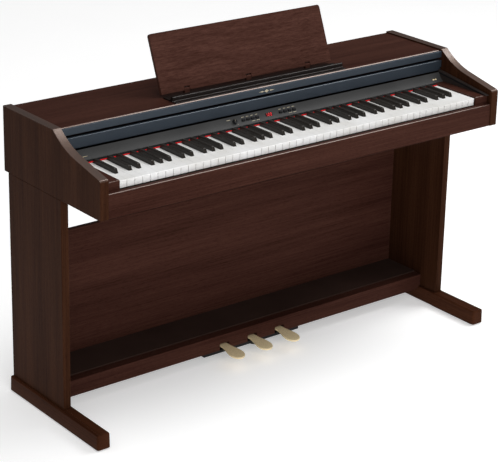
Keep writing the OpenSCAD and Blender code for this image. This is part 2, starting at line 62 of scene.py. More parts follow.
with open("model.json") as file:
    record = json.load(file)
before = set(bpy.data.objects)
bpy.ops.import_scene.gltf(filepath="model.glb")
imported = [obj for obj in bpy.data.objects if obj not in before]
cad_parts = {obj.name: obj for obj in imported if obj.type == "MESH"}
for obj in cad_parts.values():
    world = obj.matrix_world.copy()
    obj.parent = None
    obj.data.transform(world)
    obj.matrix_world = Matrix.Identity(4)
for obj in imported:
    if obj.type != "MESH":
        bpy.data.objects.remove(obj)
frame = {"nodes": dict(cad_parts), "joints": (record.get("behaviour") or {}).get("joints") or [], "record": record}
CAD_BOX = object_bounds()
JOINTS = {joint["name"]: joint for joint in frame["joints"]}
MOUNTS = {mount["name"]: mount for mount in frame["record"]["mounts"]}
MM = 0.001
X, Y, Z = 0, 1, 2
SHARP_ANGLE = math.radians(38)  # two faces that meet more sharply show an edge
CORNER = 1.7  # least radius of an outline's corner, over the ease of the edge that runs round it
BEYOND = 1.15  # where the flat begins beyond an eased edge, over its radius
STEEP, LEVEL, OVER_LEVEL = 0.15, 0.985, 1.1  # limits to the rise of a sloped face's normal
ENDS = 0.4 * MM  # ease of the ends of the long boards
LID_TILT = 0.63333  # fall of the lid as it slides out, in radians a metre


# ---- sizes and colours that a user would change ----


def length(label, words, default):
    """A length property in metres."""
    return bpy.props.FloatProperty(
        name=label, description=words, default=default, min=0.0, precision=4, unit="LENGTH"
    )


def colour(label, words, default):
    """A colour property."""
    return bpy.props.FloatVectorProperty(
        name=label, description=words, default=default, size=3, min=0.0, max=1.0, subtype="COLOR"
    )


class PianoSizes(bpy.types.PropertyGroup):
    """Sizes that the frame does not give: eased edges, lips and small parts"""

    board_ease: length("Board edge", "Radius of the eased edges of the boards", 0.0012)
    front_round: length(
        "Front bevel", "Width of the boards' front bevels, and radius of the grip's edges", 0.003,
    )
    ogee_run: length("Sweep", "Depth of the sweep at the top of the cheeks", 0.1)
    cheek_front: length("Cheek front", "Height of the cheeks at the front", 0.106)
    cheek_nose: length("Cheek nose", "Radius of the cheeks' front corner", 0.007)
    key_gap: length("Key gap", "Gap between two white keys", 0.0006)
    key_lip: length("Key lip", "Reach of a white key's plate over its skirt", 0.0005)
    key_plate: length("Key plate", "Thickness of a white key's plate", 0.0032)
    key_drop: length("Key drop", "Step down of a key behind the felt", 0.008)
    black_width: length("Black key width", "Width of a black key at its foot", 0.01)
    panel_hollow: length("Panel hollow", "Depth of the control panel's hollow", 0.002)
    panel_half: length("Panel half height", "Half the height of the control panel's slope", 0.0153)
    foot_round: length("Foot rounding", "Radius of the feet's upper edges", 0.004)
    pedal_thickness: length("Pedal thickness", "Thickness of a pedal's paddle", 0.006)


class PianoColours(bpy.types.PropertyGroup):
    """Colours of the finishes"""

    board_deep: colour("Board, deep", "Dark streaks of the boards", (0.034, 0.012, 0.0085))
    board_pale: colour("Board, pale", "Pale streaks of the boards", (0.068, 0.027, 0.019))
    side_deep: colour("Side, deep", "Dark streaks of the cheeks and legs", (0.024, 0.0085, 0.0042))
    side_pale: colour("Side, pale", "Pale streaks of the cheeks and legs", (0.056, 0.0215, 0.0105))
    rest_deep: colour("Rest, deep", "Dark flecks of the music rest", (0.047, 0.0185, 0.0135))
    rest_pale: colour("Rest, pale", "Pale flecks of the music rest", (0.09, 0.039, 0.029))
    foot_deep: colour("Foot, deep", "Dark streaks of the feet", (0.03, 0.0098, 0.0047))
    foot_pale: colour("Foot, pale", "Pale streaks of the feet", (0.068, 0.024, 0.0115))
    strip: colour("Strip", "Blue-grey of the fascia and the lid's grip", (0.036, 0.049, 0.066))
    panel: colour("Panel", "Dark grey of the control panel", (0.05, 0.05, 0.05))
    white_key: colour("White key", "Satin white of the keys", (0.95, 0.935, 0.9))
    black_key: colour("Black key", "Satin black of the keys", (0.021, 0.0175, 0.0145))
    felt: colour("Felt", "Red felt behind the keys", (0.8, 0.022, 0.026))
    gold: colour("Gold", "Polished gold of the pedals", (0.95, 0.74, 0.45))
    print: colour("Print", "Pale print on the control panel", (0.62, 0.55, 0.4))
    lit: colour("Lit digits", "Glow of the display", (1.0, 0.015, 0.02))


class PianoStage(bpy.types.PropertyGroup):
    """Floor, light and camera"""

    floor: colour("Floor", "Plain pale floor", (0.92, 0.92, 0.92))
    sky: bpy.props.FloatProperty(
        name="Overhead", description="Brightness of the sky above", default=0.95, min=0.0
    )
    horizon: bpy.props.FloatProperty(
        name="Horizon", description="Brightness of the surroundings at the horizon", default=0.03,
        min=0.0,
    )
    key_light: bpy.props.FloatProperty(
        name="Key light", description="Power of the large soft light", default=100.0, min=0.0,
        unit="POWER",
    )
    fill_light: bpy.props.FloatProperty(
        name="Fill light", description="Power of the light in front", default=125.0, min=0.0,
        unit="POWER",
    )
    lens: bpy.props.FloatProperty(
        name="Lens", description="Focal length", default=127.97, min=1.0, unit="CAMERA"
    )
    lens_shift: bpy.props.FloatProperty(
        name="Lens shift", description="Upward shift of the lens, in frame widths", default=-0.1225
    )
    camera_place: bpy.props.FloatVectorProperty(
        name="Camera place", description="Where the camera stands", size=3,
        default=(-2.899, -3.606, 2.198), subtype="TRANSLATION", unit="LENGTH",
    )
    camera_turn: bpy.props.FloatVectorProperty(
        name="Camera turn", description="Azimuth, elevation and roll of the camera", size=3,
        default=(math.radians(-38.38), math.radians(19.47), math.radians(1.27)), subtype="EULER",
    )


# ---- surfaces: (points, corners, sizes), the sizes being the corner counts of the faces ----


def rounded(points, radius, steps=5):
    """A closed outline with eased corners. Each corner is cut back by its radius along both sides,
    and joined by a quadratic curve whose control point is the corner. One more point lies on the
    straight beyond each end of a curve, and a corner of radius 0 stays sharp."""
    corner = np.asarray(points, float)
    reach = np.broadcast_to(np.asarray(radius, float), len(corner))[:, None, None]
    before = np.roll(corner, 1, 0) - corner
    after = np.roll(corner, -1, 0) - corner
    before = (before / np.linalg.norm(before, axis=1, keepdims=True))[:, None, :]
    after = (after / np.linalg.norm(after, axis=1, keepdims=True))[:, None, :]
    t = np.linspace(0, 1, steps + 1)[None, :, None]
    curve = before * (1 - t) ** 2 + after * t**2
    bend = np.concatenate([BEYOND * before, curve, BEYOND * after], axis=1)
    outline = (corner[:, None, :] + reach * bend).reshape(-1, 2)
    step = np.linalg.norm(outline - np.roll(outline, 1, 0), axis=1)
    return outline[step > 1e-6]


def rectangle(low, high):
    """The four corners between two opposite ones."""
    return np.array([low, (high[0], low[1]), high, (low[0], high[1])], float)


def bevelled(low, high, bevel):
    """(Y, Z) section of a board with a flat bevel along its upper front edge."""
    front = [[low[Y] + bevel, high[Z]], [low[Y], high[Z] - 0.75 * bevel]]
    points = [low[[Y, Z]], [high[Y], low[Z]], high[[Y, Z]], *front]
    return rounded(points, np.array([1, 1, 1, 0.7, 0.7]) * MM)


def eased(low, high, at_low, at_high, steps=4):
    """The (inset, height) profile of a board from its low face to its high one: a quarter circle
    at each edge, with one more point on the flat at either side of it."""
    a = np.linspace(0, np.pi / 2, steps + 1)
    inset = np.concatenate([[BEYOND], 1 - np.sin(a), [0]])
    rise = np.concatenate([[0], 1 - np.cos(a), [BEYOND]])
    return np.stack(
        [
            np.concatenate([at_low * inset, at_high * inset[::-1]]),
            np.concatenate([low + at_low * rise, high - at_high * rise[::-1]]),
        ],
        axis=1,
    )


def wound(rows, columns):
    """Faces of a grid whose rows are closed rings: corner (v, u) is joined to (v, u + 1)."""
    v = np.arange(rows - 1)[:, None] * columns
    u = np.arange(columns)[None, :]
    beside = (u + 1) % columns
    corners = np.stack([v + u, v + beside, v + beside + columns, v + u + columns], axis=-1)
    return corners.reshape(-1), np.full((rows - 1) * columns, 4)


def turned_over(shape):
    """The same shape with every face's corners in the other order."""
    points, corners, sizes = shape
    first = np.repeat(np.cumsum(sizes) - sizes, sizes)
    place = np.arange(len(corners)) - first
    return points, corners[first + np.repeat(sizes, sizes) - 1 - place], sizes


def carried(outline, profile, axis):
    """S(u, v): point u of a closed outline, moved inwards along its mitre by the profile's inset at
    v, and set at the profile's height at v along the axis. A flat face closes each end."""
    p = np.asarray(outline, float)
    profile = np.asarray(profile, float)
    q = np.roll(p, -1, 0)
    if np.sum(p[:, 0] * q[:, 1] - q[:, 0] * p[:, 1]) < 0:
        p = p[::-1]
    side = np.roll(p, -1, 0) - p
    side /= np.linalg.norm(side, axis=1, keepdims=True)
    normal = np.stack([side[:, 1], -side[:, 0]], axis=1)
    previous = np.roll(normal, 1, 0)
    mitre = (normal + previous) / (1 + np.sum(normal * previous, axis=1, keepdims=True))
    rows, columns = len(profile), len(p)
    points = np.empty((rows, columns, 3))
    points[..., [i for i in (X, Y, Z) if i != axis]] = p - profile[:, :1, None] * mitre
    points[..., axis] = profile[:, 1:]
    corners, sizes = wound(rows, columns)
    ring = np.arange(columns)
    corners = np.concatenate([corners, ring[::-1], ring + (rows - 1) * columns])
    sizes = np.concatenate([sizes, [columns, columns]])
    shape = points.reshape(-1, 3), corners, sizes
    return turned_over(shape) if axis == Y else shape


def revolved(profile, count=48, flutes=0, depth=0.0):
    """S(a, v) = (r cos a, r sin a, h) for the profile's (r, h) at v. The radius swells and shrinks
    by the fluting's depth as cos(flutes a), in the rows whose profile has a third value of 1."""
    table = np.asarray(profile, float)
    share = table[:, 2:3] if table.shape[1] > 2 else np.zeros((len(table), 1))
    a = np.linspace(0, 2 * np.pi, count, endpoint=False)[None, :]
    r = table[:, :1] * (1 + depth * share * np.cos(flutes * a))
    h = np.broadcast_to(table[:, 1:2], r.shape)
    points = np.stack([r * np.cos(a), r * np.sin(a), h], axis=-1).reshape(-1, 3)
    corners, sizes = wound(len(table), count)
    return points, corners, sizes


def ringed(profile, count=48):
    """A turned ring: the closed profile of (r, h) is carried round the axis, back to its start."""
    table = np.asarray(profile, float)
    return revolved(np.concatenate([table, table[:1]]), count)


def swept(path, radius, upright, sides=8):
    """S(v, u) = P(v) + r(v) (cos u N + sin u B): a round bar along a path, N being the path's
    direction crossed with the upright direction B. The bar narrows to a point at each end."""
    p = np.asarray(path, float)
    along = np.gradient(p, axis=0)
    along /= np.linalg.norm(along, axis=1, keepdims=True)
    b = np.broadcast_to(np.asarray(upright, float), p.shape)
    n = np.cross(along, b)
    u = np.linspace(0, 2 * np.pi, sides, endpoint=False)[None, :, None]
    r = np.broadcast_to(np.asarray(radius, float), len(p))[:, None, None]
    ring = r * (np.cos(u) * n[:, None] + np.sin(u) * b[:, None])
    flat = 0 * ring[:1]
    points = np.concatenate([p[:1, None] + flat, p[:, None] + ring, p[-1:, None] + flat])
    corners, sizes = wound(len(p) + 2, sides)
    return turned_over((points.reshape(-1, 3), corners, sizes))


def placed(shape, origin, axes=np.eye(3)):
    """The shape in a frame of its own: origin + points along the three axes."""
    points, corners, sizes = shape
    return points @ np.asarray(axes, float) + np.asarray(origin, float), corners, sizes


def bar(low, high, y, z, radius, count=24, ease=0.3 * MM):
    """A round bar along X with eased ends."""
    a = np.linspace(0, 2 * np.pi, count, endpoint=False)
    outline = np.stack([y + radius * np.cos(a), z + radius * np.sin(a)], axis=1)
    return carried(outline, eased(low, high, ease, ease, 2), X)


def corners_of(node):
    """The lowest and highest corner of a CAD node, as arrays. It is an error if there is none."""
    if node not in frame["nodes"]:
        raise RuntimeError(f"the frame has no node {node}")
    low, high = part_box(node)
    return np.array(low), np.array(high)


def lengthwise(outline, low, high, ease):
    """A (Y, Z) section carried along X from the low corner to the high one, with eased ends."""
    return carried(outline, eased(low[X], high[X], ease, ease), X)


def plank(node, axis, ease):
    """An eased board in a CAD node's box, whose thickness lies along the axis."""
    low, high = corners_of(node)
    flat = [i for i in (X, Y, Z) if i != axis]
    outline = rounded(rectangle(low[flat], high[flat]), CORNER * ease)
    return carried(outline, eased(low[axis], high[axis], ease, ease), axis)


def piece(name, shapes, finish, body, nodes=(), sloped=None, most=LEVEL):
    """Joins shapes into one object, which rides on a body and stands for its CAD nodes. The faces
    that slope, as on a swept edge, can have a finish of their own, up to the most rise given."""
    starts = np.cumsum([0] + [len(points) for points, _, _ in shapes])
    points = np.concatenate([points for points, _, _ in shapes])
    corners = np.concatenate([c + s for (_, c, _), s in zip(shapes, starts)]).astype(np.int32)
    sizes = np.concatenate([sizes for _, _, sizes in shapes])
    mesh = bpy.data.meshes.new(name)
    mesh.vertices.add(len(points))
    mesh.vertices.foreach_set("co", points.astype(np.float32).ravel())
    mesh.loops.add(len(corners))
    mesh.loops.foreach_set("vertex_index", corners)
    mesh.polygons.add(len(sizes))
    mesh.polygons.foreach_set("loop_start", (np.cumsum(sizes) - sizes).astype(np.int32))
    mesh.update(calc_edges=True)
    close_poles(mesh)
    mesh.shade_smooth()
    mesh.set_sharp_from_angle(angle=SHARP_ANGLE)
    mesh.materials.append(finish)
    if sloped:
        mesh.materials.append(sloped)
        normals = np.empty(3 * len(mesh.polygons), np.float32)
        mesh.polygons.foreach_get("normal", normals)
        edge = (normals[2::3] > STEEP) & (normals[2::3] < most)
        mesh.polygons.foreach_set("material_index", edge.astype(np.int32))
    obj = bpy.data.objects.new(name, mesh)
    bpy.context.scene.collection.objects.link(obj)
    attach(obj, body)
    if nodes:
        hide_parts(*nodes)
    return obj


def close_poles(mesh):
    """Joins the corners that lie on one point, as at the pole of a turned shape."""
    work = bmesh.new()
    work.from_mesh(mesh)
    bmesh.ops.remove_doubles(work, verts=work.verts, dist=1e-6)
    work.to_mesh(mesh)
    work.free()


# ---- finishes ----


def add(tree, kind, inputs=None, **settings):
    """A shader node with its settings. An input given as a socket is linked, else it is set."""
    node = tree.nodes.new("ShaderNode" + kind)
    for name, value in settings.items():
        setattr(node, name, value)
    for name, value in (inputs or {}).items():
        if isinstance(value, bpy.types.NodeSocket):
            tree.links.new(value, node.inputs[name])
        else:
            node.inputs[name].default_value = value
    return node


def new_finish(name, **constants):
    """A material with a Principled shader, and the place socket that its pattern reads."""
    material = bpy.data.materials.new(name)
    material.use_nodes = True
    tree = material.node_tree
    shader = next(node for node in tree.nodes if node.type == "BSDF_PRINCIPLED")
    for socket, value in constants.items():
        shader.inputs[socket.replace("_", " ")].default_value = value
    place = add(tree, "TexCoord").outputs["Object"]
    return material, tree, shader, place


def stretched(tree, place, size, detail=3.0, roughness=0.6):
    """Noise whose grains have the given size along X, Y and Z."""
    scale = [1 / s for s in size]
    spread = add(tree, "Mapping", {"Vector": place, "Scale": scale}).outputs["Vector"]
    noise = {"Vector": spread, "Scale": 1.0, "Detail": detail, "Roughness": roughness}
    return add(tree, "TexNoise", noise).outputs["Fac"]


def ramp(tree, value, low, high, at=(0.35, 0.65)):
    """A colour that goes from low to high as the value crosses a range."""
    node = add(tree, "ValToRGB", {"Fac": value})
    node.color_ramp.elements[0].position = at[0]
    node.color_ramp.elements[1].position = at[1]
    node.color_ramp.elements[0].color = (*low, 1.0)
    node.color_ramp.elements[1].color = (*high, 1.0)
    return node.outputs["Color"]


def between(tree, value, low, high):
    """The value, from 0 to 1, spread from low to high."""
    node = add(tree, "MapRange", {"Value": value, "To Min": low, "To Max": high})
    return node.outputs["Result"]


def calculated(tree, operation, a, b):
    """One sum on two values."""
    node = add(tree, "Math", operation=operation)
    for socket, value in zip(node.inputs, (a, b)):
        if isinstance(value, bpy.types.NodeSocket):
            tree.links.new(value, socket)
        else:
            socket.default_value = value
    return node.outputs["Value"]


def raised(tree, shader, height, distance, strength=0.4):
    """A bump on the shader from a height."""
    bump = add(tree, "Bump", {"Height": height, "Strength": strength, "Distance": distance})
    tree.links.new(bump.outputs["Normal"], shader.inputs["Normal"])


def along(axis, grain, width):
    """The size of a grain that runs along one axis."""
    size = [width] * 3
    size[axis] = grain
    return size


def laminate(name, axis, deep, pale, grain=0.22, figure=0.05, gloss=0.36, lacquer=0.0):
    """Printed rosewood under satin lacquer: fine streaks along one axis over a slower figure, with
    short dark pores that are also pressed into the surface."""
    if name in bpy.data.materials:
        return bpy.data.materials[name]
    material, tree, shader, place = new_finish(
        name, Specular_IOR_Level=0.015 + 0.75 * lacquer, Specular_Tint=(1.0, 0.7, 0.55, 1.0),
        Coat_Weight=0.5 * lacquer, Coat_Roughness=0.2,
    )
    fine = stretched(tree, place, along(axis, grain, 0.0035), 5.0)
    slow = stretched(tree, place, along(axis, grain * 4, figure), 3.0, 0.55)
    pores = stretched(tree, place, along(axis, 0.012, 0.0006), 2.0)
    tone = calculated(tree, "ADD", calculated(tree, "MULTIPLY", fine, 0.55),
                      calculated(tree, "MULTIPLY", slow, 0.45))
    wood = ramp(tree, tone, deep, pale, (0.36, 0.64))
    dark = ramp(tree, pores, (0.55, 0.5, 0.5), (1.0, 1.0, 1.0), (0.36, 0.46))
    sockets = {"Fac": 1.0, "Color1": wood, "Color2": dark}
    shaded = add(tree, "MixRGB", sockets, blend_type="MULTIPLY")
    tree.links.new(shaded.outputs["Color"], shader.inputs["Base Color"])
    tree.links.new(between(tree, fine, gloss - 0.08, gloss + 0.1), shader.inputs["Roughness"])
    raised(tree, shader, pores, 0.15 * MM, 0.3)
    return material


def moulded(name, tint, gloss=0.45, texture=0.0009, depth=0.05, **constants):
    """Moulded or sprayed finish: one colour that drifts a little, over a fine pebbled texture."""
    if name in bpy.data.materials:
        return bpy.data.materials[name]
    material, tree, shader, place = new_finish(name, **{"Specular_IOR_Level": 0.08, **constants})
    grain = stretched(tree, place, [texture] * 3, 2.0)
    drift = stretched(tree, place, [0.12] * 3, 2.0)
    pale = [min(1.0, c * 1.12) for c in tint]
    deep = [c * 0.9 for c in tint]
    tree.links.new(ramp(tree, drift, deep, pale, (0.3, 0.7)), shader.inputs["Base Color"])
    tree.links.new(between(tree, grain, gloss - 0.05, gloss + 0.07), shader.inputs["Roughness"])
    raised(tree, shader, grain, depth * MM, 0.35)
    return material


def brushed(name, tint, axis, gloss=0.3, **constants):
    """Metal or metal paint brushed along one axis: long hairlines in its tone and gloss."""
    if name in bpy.data.materials:
        return bpy.data.materials[name]
    material, tree, shader, place = new_finish(name, **constants)
    hair = stretched(tree, place, along(axis, 0.06, 0.0004), 3.0)
    drift = stretched(tree, place, [0.2] * 3, 2.0)
    tone = calculated(tree, "ADD", calculated(tree, "MULTIPLY", hair, 0.5),
                      calculated(tree, "MULTIPLY", drift, 0.5))
    pale = [min(1.0, c * 1.15) for c in tint]
    deep = [c * 0.86 for c in tint]
    tree.links.new(ramp(tree, tone, deep, pale, (0.3, 0.7)), shader.inputs["Base Color"])
    tree.links.new(between(tree, hair, gloss - 0.06, gloss + 0.1), shader.inputs["Roughness"])
    raised(tree, shader, hair, 0.03 * MM, 0.2)
    return material


def felted(name, tint):
    """Wool felt: short tangled fibres with a soft bloom."""
    if name in bpy.data.materials:
        return bpy.data.materials[name]
    material, tree, shader, place = new_finish(
        name, Specular_IOR_Level=0.0, Sheen_Weight=0.01, Sheen_Roughness=0.6
    )
    fibre = stretched(tree, place, [0.0008] * 3, 4.0, 0.7)
    deep = [c * 0.6 for c in tint]
    tree.links.new(ramp(tree, fibre, deep, tint, (0.3, 0.6)), shader.inputs["Base Color"])
    shader.inputs["Roughness"].default_value = 0.95
    raised(tree, shader, fibre, 0.4 * MM, 0.7)
    return material


def glowing(name, tint, strength):
    """Lit segments behind red glass, a little uneven."""
    if name in bpy.data.materials:
        return bpy.data.materials[name]
    material, tree, shader, place = new_finish(name, Roughness=0.4, Emission_Strength=strength)
    spots = stretched(tree, place, [0.001] * 3, 1.0)
    light = ramp(tree, spots, [c * 0.8 for c in tint], tint)
    tree.links.new(light, shader.inputs["Base Color"])
    tree.links.new(light, shader.inputs["Emission Color"])
    return material


def printed_circuit(name):
    """Green circuit board: copper tracks in a brick pattern under solder mask."""
    material, tree, shader, place = new_finish(name, Roughness=0.35)
    tracks = {"Vector": place, "Scale": 60.0, "Mortar Size": 0.03, "Color1": (0.02, 0.12, 0.05, 1),
              "Color2": (0.015, 0.09, 0.04, 1), "Mortar": (0.05, 0.25, 0.1, 1)}
    pattern = add(tree, "TexBrick", tracks).outputs["Color"]
    tree.links.new(pattern, shader.inputs["Base Color"])
    return material


class Finishes:
    """The finishes of the piano, made when a piece first asks for one."""

    def __init__(self, colours):
        """Keep the colours that the finishes are mixed from."""
        self.colours = colours

    def board(self):
        """Boards whose grain runs along X"""
        return laminate("rosewood_board", X, self.colours.board_deep, self.colours.board_pale)

    def board_edge(self):
        """Lacquered edge band of the boards"""
        colours = self.colours
        return laminate("rosewood_edge", X, colours.board_deep, colours.board_pale, lacquer=1.0)

    def side(self):
        """Cheeks and legs, whose grain stands up"""
        return laminate("rosewood_side", Z, self.colours.side_deep, self.colours.side_pale)

    def side_edge(self):
        """Lacquered edge band of the cheeks' sweeps"""
        colours = self.colours
        return laminate("rosewood_sweep", Y, colours.side_deep, colours.side_pale, lacquer=1.0)

    def rest(self):
        """Music rest, whose grain is in short flecks"""
        colours = self.colours
        return laminate("rosewood_rest", X, colours.rest_deep, colours.rest_pale, 0.03, 0.012, 0.45)

    def foot(self):
        """Feet, whose grain runs front to back"""
        return laminate("rosewood_foot", Y, self.colours.foot_deep, self.colours.foot_pale)

    def strip(self):
        """Blue-grey satin"""
        return brushed("blue_satin", self.colours.strip, X, 0.4, Metallic=0.35)

    def strip_edge(self):
        """Burnished edge of the strips"""
        return brushed("blue_edge", self.colours.strip, X, 0.3, Metallic=0.35, Coat_Weight=0.5,
                       Coat_Roughness=0.25)

    def panel(self):
        """Dark grey satin"""
        return moulded("panel_satin", self.colours.panel, 0.42)

    def black(self):
        """Black moulded plastic"""
        return moulded("black_moulded", (0.012, 0.012, 0.013), 0.38)

    def gold(self):
        """Polished gold"""
        return brushed("pedal_gold", self.colours.gold, Y, 0.26, Metallic=0.08,
                       Coat_Weight=0.6, Coat_Roughness=0.08)

    def steel(self):
        """Zinc-plated steel"""
        return brushed("zinc_steel", (0.5, 0.5, 0.52), X, 0.3, Metallic=1.0)

    def print(self):
        """Pale print"""
        return moulded("panel_print", self.colours.print, 0.5, Metallic=0.3)


# ---- frames and outlines shared by several pieces ----


def panel_frame():
    """Origin and axes on the control panel: X, up its slope, and out of its face."""
    knob = JOINTS["volume_turn"]
    out = np.array(knob["axis"], float)
    up = np.cross(out, [1.0, 0.0, 0.0])
    return np.array([0.0, *knob["pos_m"][1:]]), np.array([[1.0, 0.0, 0.0], up, out])


def on_panel(shape):
    """A shape made in the control panel's frame."""
    return placed(shape, *panel_frame())


def hollow(sizes, y):
    """Height of the panel's hollow face at y up its slope: an arc through both edges."""
    radius = (sizes.panel_half**2 + sizes.panel_hollow**2) / (2 * sizes.panel_hollow)
    return radius - sizes.panel_hollow - np.sqrt(radius**2 - y**2)


def rest_frame():
    """Origin and axes on the music rest: X, out of its back, and up the board."""
    hinge = JOINTS["music_rest_fold"]
    lean = math.radians(90 - hinge["range_deg"][1])
    back = [0.0, math.cos(lean), -math.sin(lean)]
    up = [0.0, math.sin(lean), math.cos(lean)]
    return np.array(hinge["pos_m"], float), np.array([[1.0, 0.0, 0.0], back, up])


def cheek_outline(sizes, low, high, sweep_y):
    """(Y, Z) outline of a cheek: a round nose, a straight slope, and an arc that rises from it to
    the flat top. The arc leaves the slope without a kink and ends twice as far round as its
    chord."""
    start = np.array([sweep_y - sizes.ogee_run, high[Z] - sizes.ogee_run / 2])
    front = low[Z] + sizes.cheek_front
    slope = math.atan2(start[1] - front, start[0] - low[Y] - 5 * MM)
    turn = math.atan(0.5) - slope
    radius = math.hypot(sizes.ogee_run, sizes.ogee_run / 2) / (2 * math.sin(turn))
    centre = start + radius * np.array([-math.sin(slope), math.cos(slope)])
    a = np.linspace(slope, slope + 2 * turn, 25) - np.pi / 2
    arc = centre + radius * np.stack([np.cos(a), np.sin(a)], axis=1)
    nose = [low[Y], front - 5 * MM * math.tan(slope)]
    points = np.concatenate([[[low[Y], low[Z]], nose], arc, [high[[Y, Z]], [high[Y], low[Z]]]])
    radius = np.zeros(len(points))
    radius[[0, -1, -2, len(arc) + 1]] = CORNER * sizes.board_ease
    radius[1] = sizes.cheek_nose
    return rounded(points, radius)


# ---- operators ----


class PianoMaker:
    """What the operators share: the sizes and the finishes of the scene."""

    bl_options = {"REGISTER", "UNDO"}

    def execute(self, context):
        """Make the pieces."""
        self.sizes = context.scene.piano_sizes
        self.finishes = Finishes(context.scene.piano_colours)
        self.make()
        return {"FINISHED"}

    def make(self):
        """Work out the shapes from the frame, and make the pieces. Each operator has its own."""
        raise NotImplementedError


class PIANO_OT_cheeks(PianoMaker, bpy.types.Operator):
    """Make the two cheeks, with their swept tops"""

    bl_idname = "piano.cheeks"
    bl_label = "Cheeks"

    def make(self):
        sweep_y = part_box("top_board")[0].y - 6 * MM
        for side in ("left", "right"):
            low, high = corners_of(side + "_cheek")
            outline = cheek_outline(self.sizes, low, high, sweep_y)
            shape = lengthwise(outline, low, high, self.sizes.board_ease)
            piece(side + "_cheek_board", [shape], self.finishes.side(), "cabinet",
                  [side + "_cheek"], self.finishes.side_edge(), OVER_LEVEL)


class PIANO_OT_top(PianoMaker, bpy.types.Operator):
    """Make the top board and the fascia below its front edge"""

    bl_idname = "piano.top"
    bl_label = "Top board"

    def make(self):
        low, high = corners_of("top_board")
        outline = bevelled(low, high, self.sizes.front_round)
        top = lengthwise(outline, low, high, ENDS)
        piece("top_board_face", [top], self.finishes.board(), "cabinet", ["top_board"],
              self.finishes.board_edge())
        low, high = corners_of("fascia")
        radius = np.array([1, 1, 0.8, 1.5]) * MM
        outline = rounded(rectangle(low[[Y, Z]], high[[Y, Z]]), radius)
        fascia = lengthwise(outline, low, high, ENDS)
        piece("fascia_face", [fascia], self.finishes.strip(), "cabinet", ["fascia"])


class PIANO_OT_lid(PianoMaker, bpy.types.Operator):
    """Make the lid's grip, notched round its pins, and the black strips of painted shade along the path that it
    comes down
    """

    bl_idname = "piano.lid"
    bl_label = "Lid"

    def make(self):
        low, high = corners_of("lid_grip")
        notch, notch_top = 10 * MM, low[Z] + 9 * MM
        front = self.sizes.front_round
        radius = [front, 0.8 * MM, 0.8 * MM, front]
        section = rounded(rectangle(low[[Y, Z]], high[[Y, Z]]), radius)
        upper = rounded(rectangle([low[Y], notch_top], high[[Y, Z]]) * (1 - 1e-6), radius)
        path_z = JOINTS["lid_tilt"]["pos_m"][2]
        pin_y = (low[Y] + high[Y]) / 2
        shapes = [carried(section, eased(low[X] + notch, high[X] - notch, ENDS, ENDS), X)]
        for start, end in ((low[X], low[X] + notch + 1 * MM), (high[X] - notch - 1 * MM, high[X])):
            shapes.append(carried(upper, eased(start, end, ENDS, ENDS), X))
            shapes.append(bar(start, end, pin_y, path_z, 3 * MM))
        piece("lid_grip_bar", shapes, self.finishes.strip(), "lid", ["lid_grip"],
              self.finishes.strip_edge())
        self.make_track_shade(low)

    def make_track_shade(self, grip):
        """A thin black strip on the inner side of each rail, along which the grip comes down: painted shade, the
        dark line along the top of a recess.
        """
        rails = frame["nodes"]["lid_rails"].data.vertices
        places = np.empty(3 * len(rails), np.float32)
        rails.foreach_get("co", places)
        inner, front = abs(places[::3]).min(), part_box("key_slip")[1].y
        down = math.tan(JOINTS["lid_slide"]["range_m"][1] * LID_TILT)
        top = grip[Z] - 2 * MM
        points = np.array([[grip[Y] + 10 * MM, top], [front, top - (grip[Y] - front) * down]])
        outline = rounded(np.concatenate([points, points[::-1] - [0, 4 * MM]]), 0.8 * MM)
        outer = eased(inner - 1.2 * MM, inner + 0.5 * MM, 0.2 * MM, 0.0, 2)
        sides = [carried(outline, outer, X), carried(outline, outer[::-1] * [1, -1], X)]
        # The strips' black finish is painted shade.
        piece("lid_tracks", sides, self.finishes.black(), "cabinet")


class PIANO_OT_key_slip(PianoMaker, bpy.types.Operator):
    """Make the key slip in front of the keys and the block at each end of them"""

    bl_idname = "piano.key_slip"
    bl_label = "Key slip and end blocks"

    def make(self):
        low, high = corners_of("key_slip")
        outline = bevelled(low, high, 0.6 * self.sizes.front_round)
        slip = lengthwise(outline, low, high, ENDS)
        piece("key_slip_board", [slip], self.finishes.board(), "cabinet", ["key_slip"],
              self.finishes.board_edge())
        self.make_blocks(high[Y])

    def make_blocks(self, slip_back):
        """The block at each end of the keys, which starts behind the slip."""
        low, high = corners_of("key_blocks")
        inner = -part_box("keys_a")[0].x + 1.5 * MM
        corners = rectangle([slip_back, low[Z]], [high[Y], high[Z]])
        outline = rounded(corners, [1 * MM, 1 * MM, 1 * MM, 3 * MM])
        profile = eased(inner, high[X], 0.6 * MM, 0.4 * MM)
        right = carried(outline, profile, X)
        left = carried(outline, profile[::-1] * [1, -1], X)
        piece("end_blocks", [left, right], self.finishes.board(), "cabinet", ["key_blocks"],
              self.finishes.board_edge())


WHITE_STEPS = {0: 0, 2: 1, 4: 2, 5: 3, 7: 4, 9: 5, 11: 6}
BLACK_SHIFTS = {1: -2 * MM, 3: 2 * MM, 6: -3 * MM, 8: 0.0, 10: 3 * MM}
KEY_NAMES = (
    "c", "c_sharp", "d", "d_sharp", "e", "f", "f_sharp", "g", "g_sharp", "a", "a_sharp", "b",
)
FIRST_KEY, LAST_KEY = 21, 108
WHITE_KEYS = 52


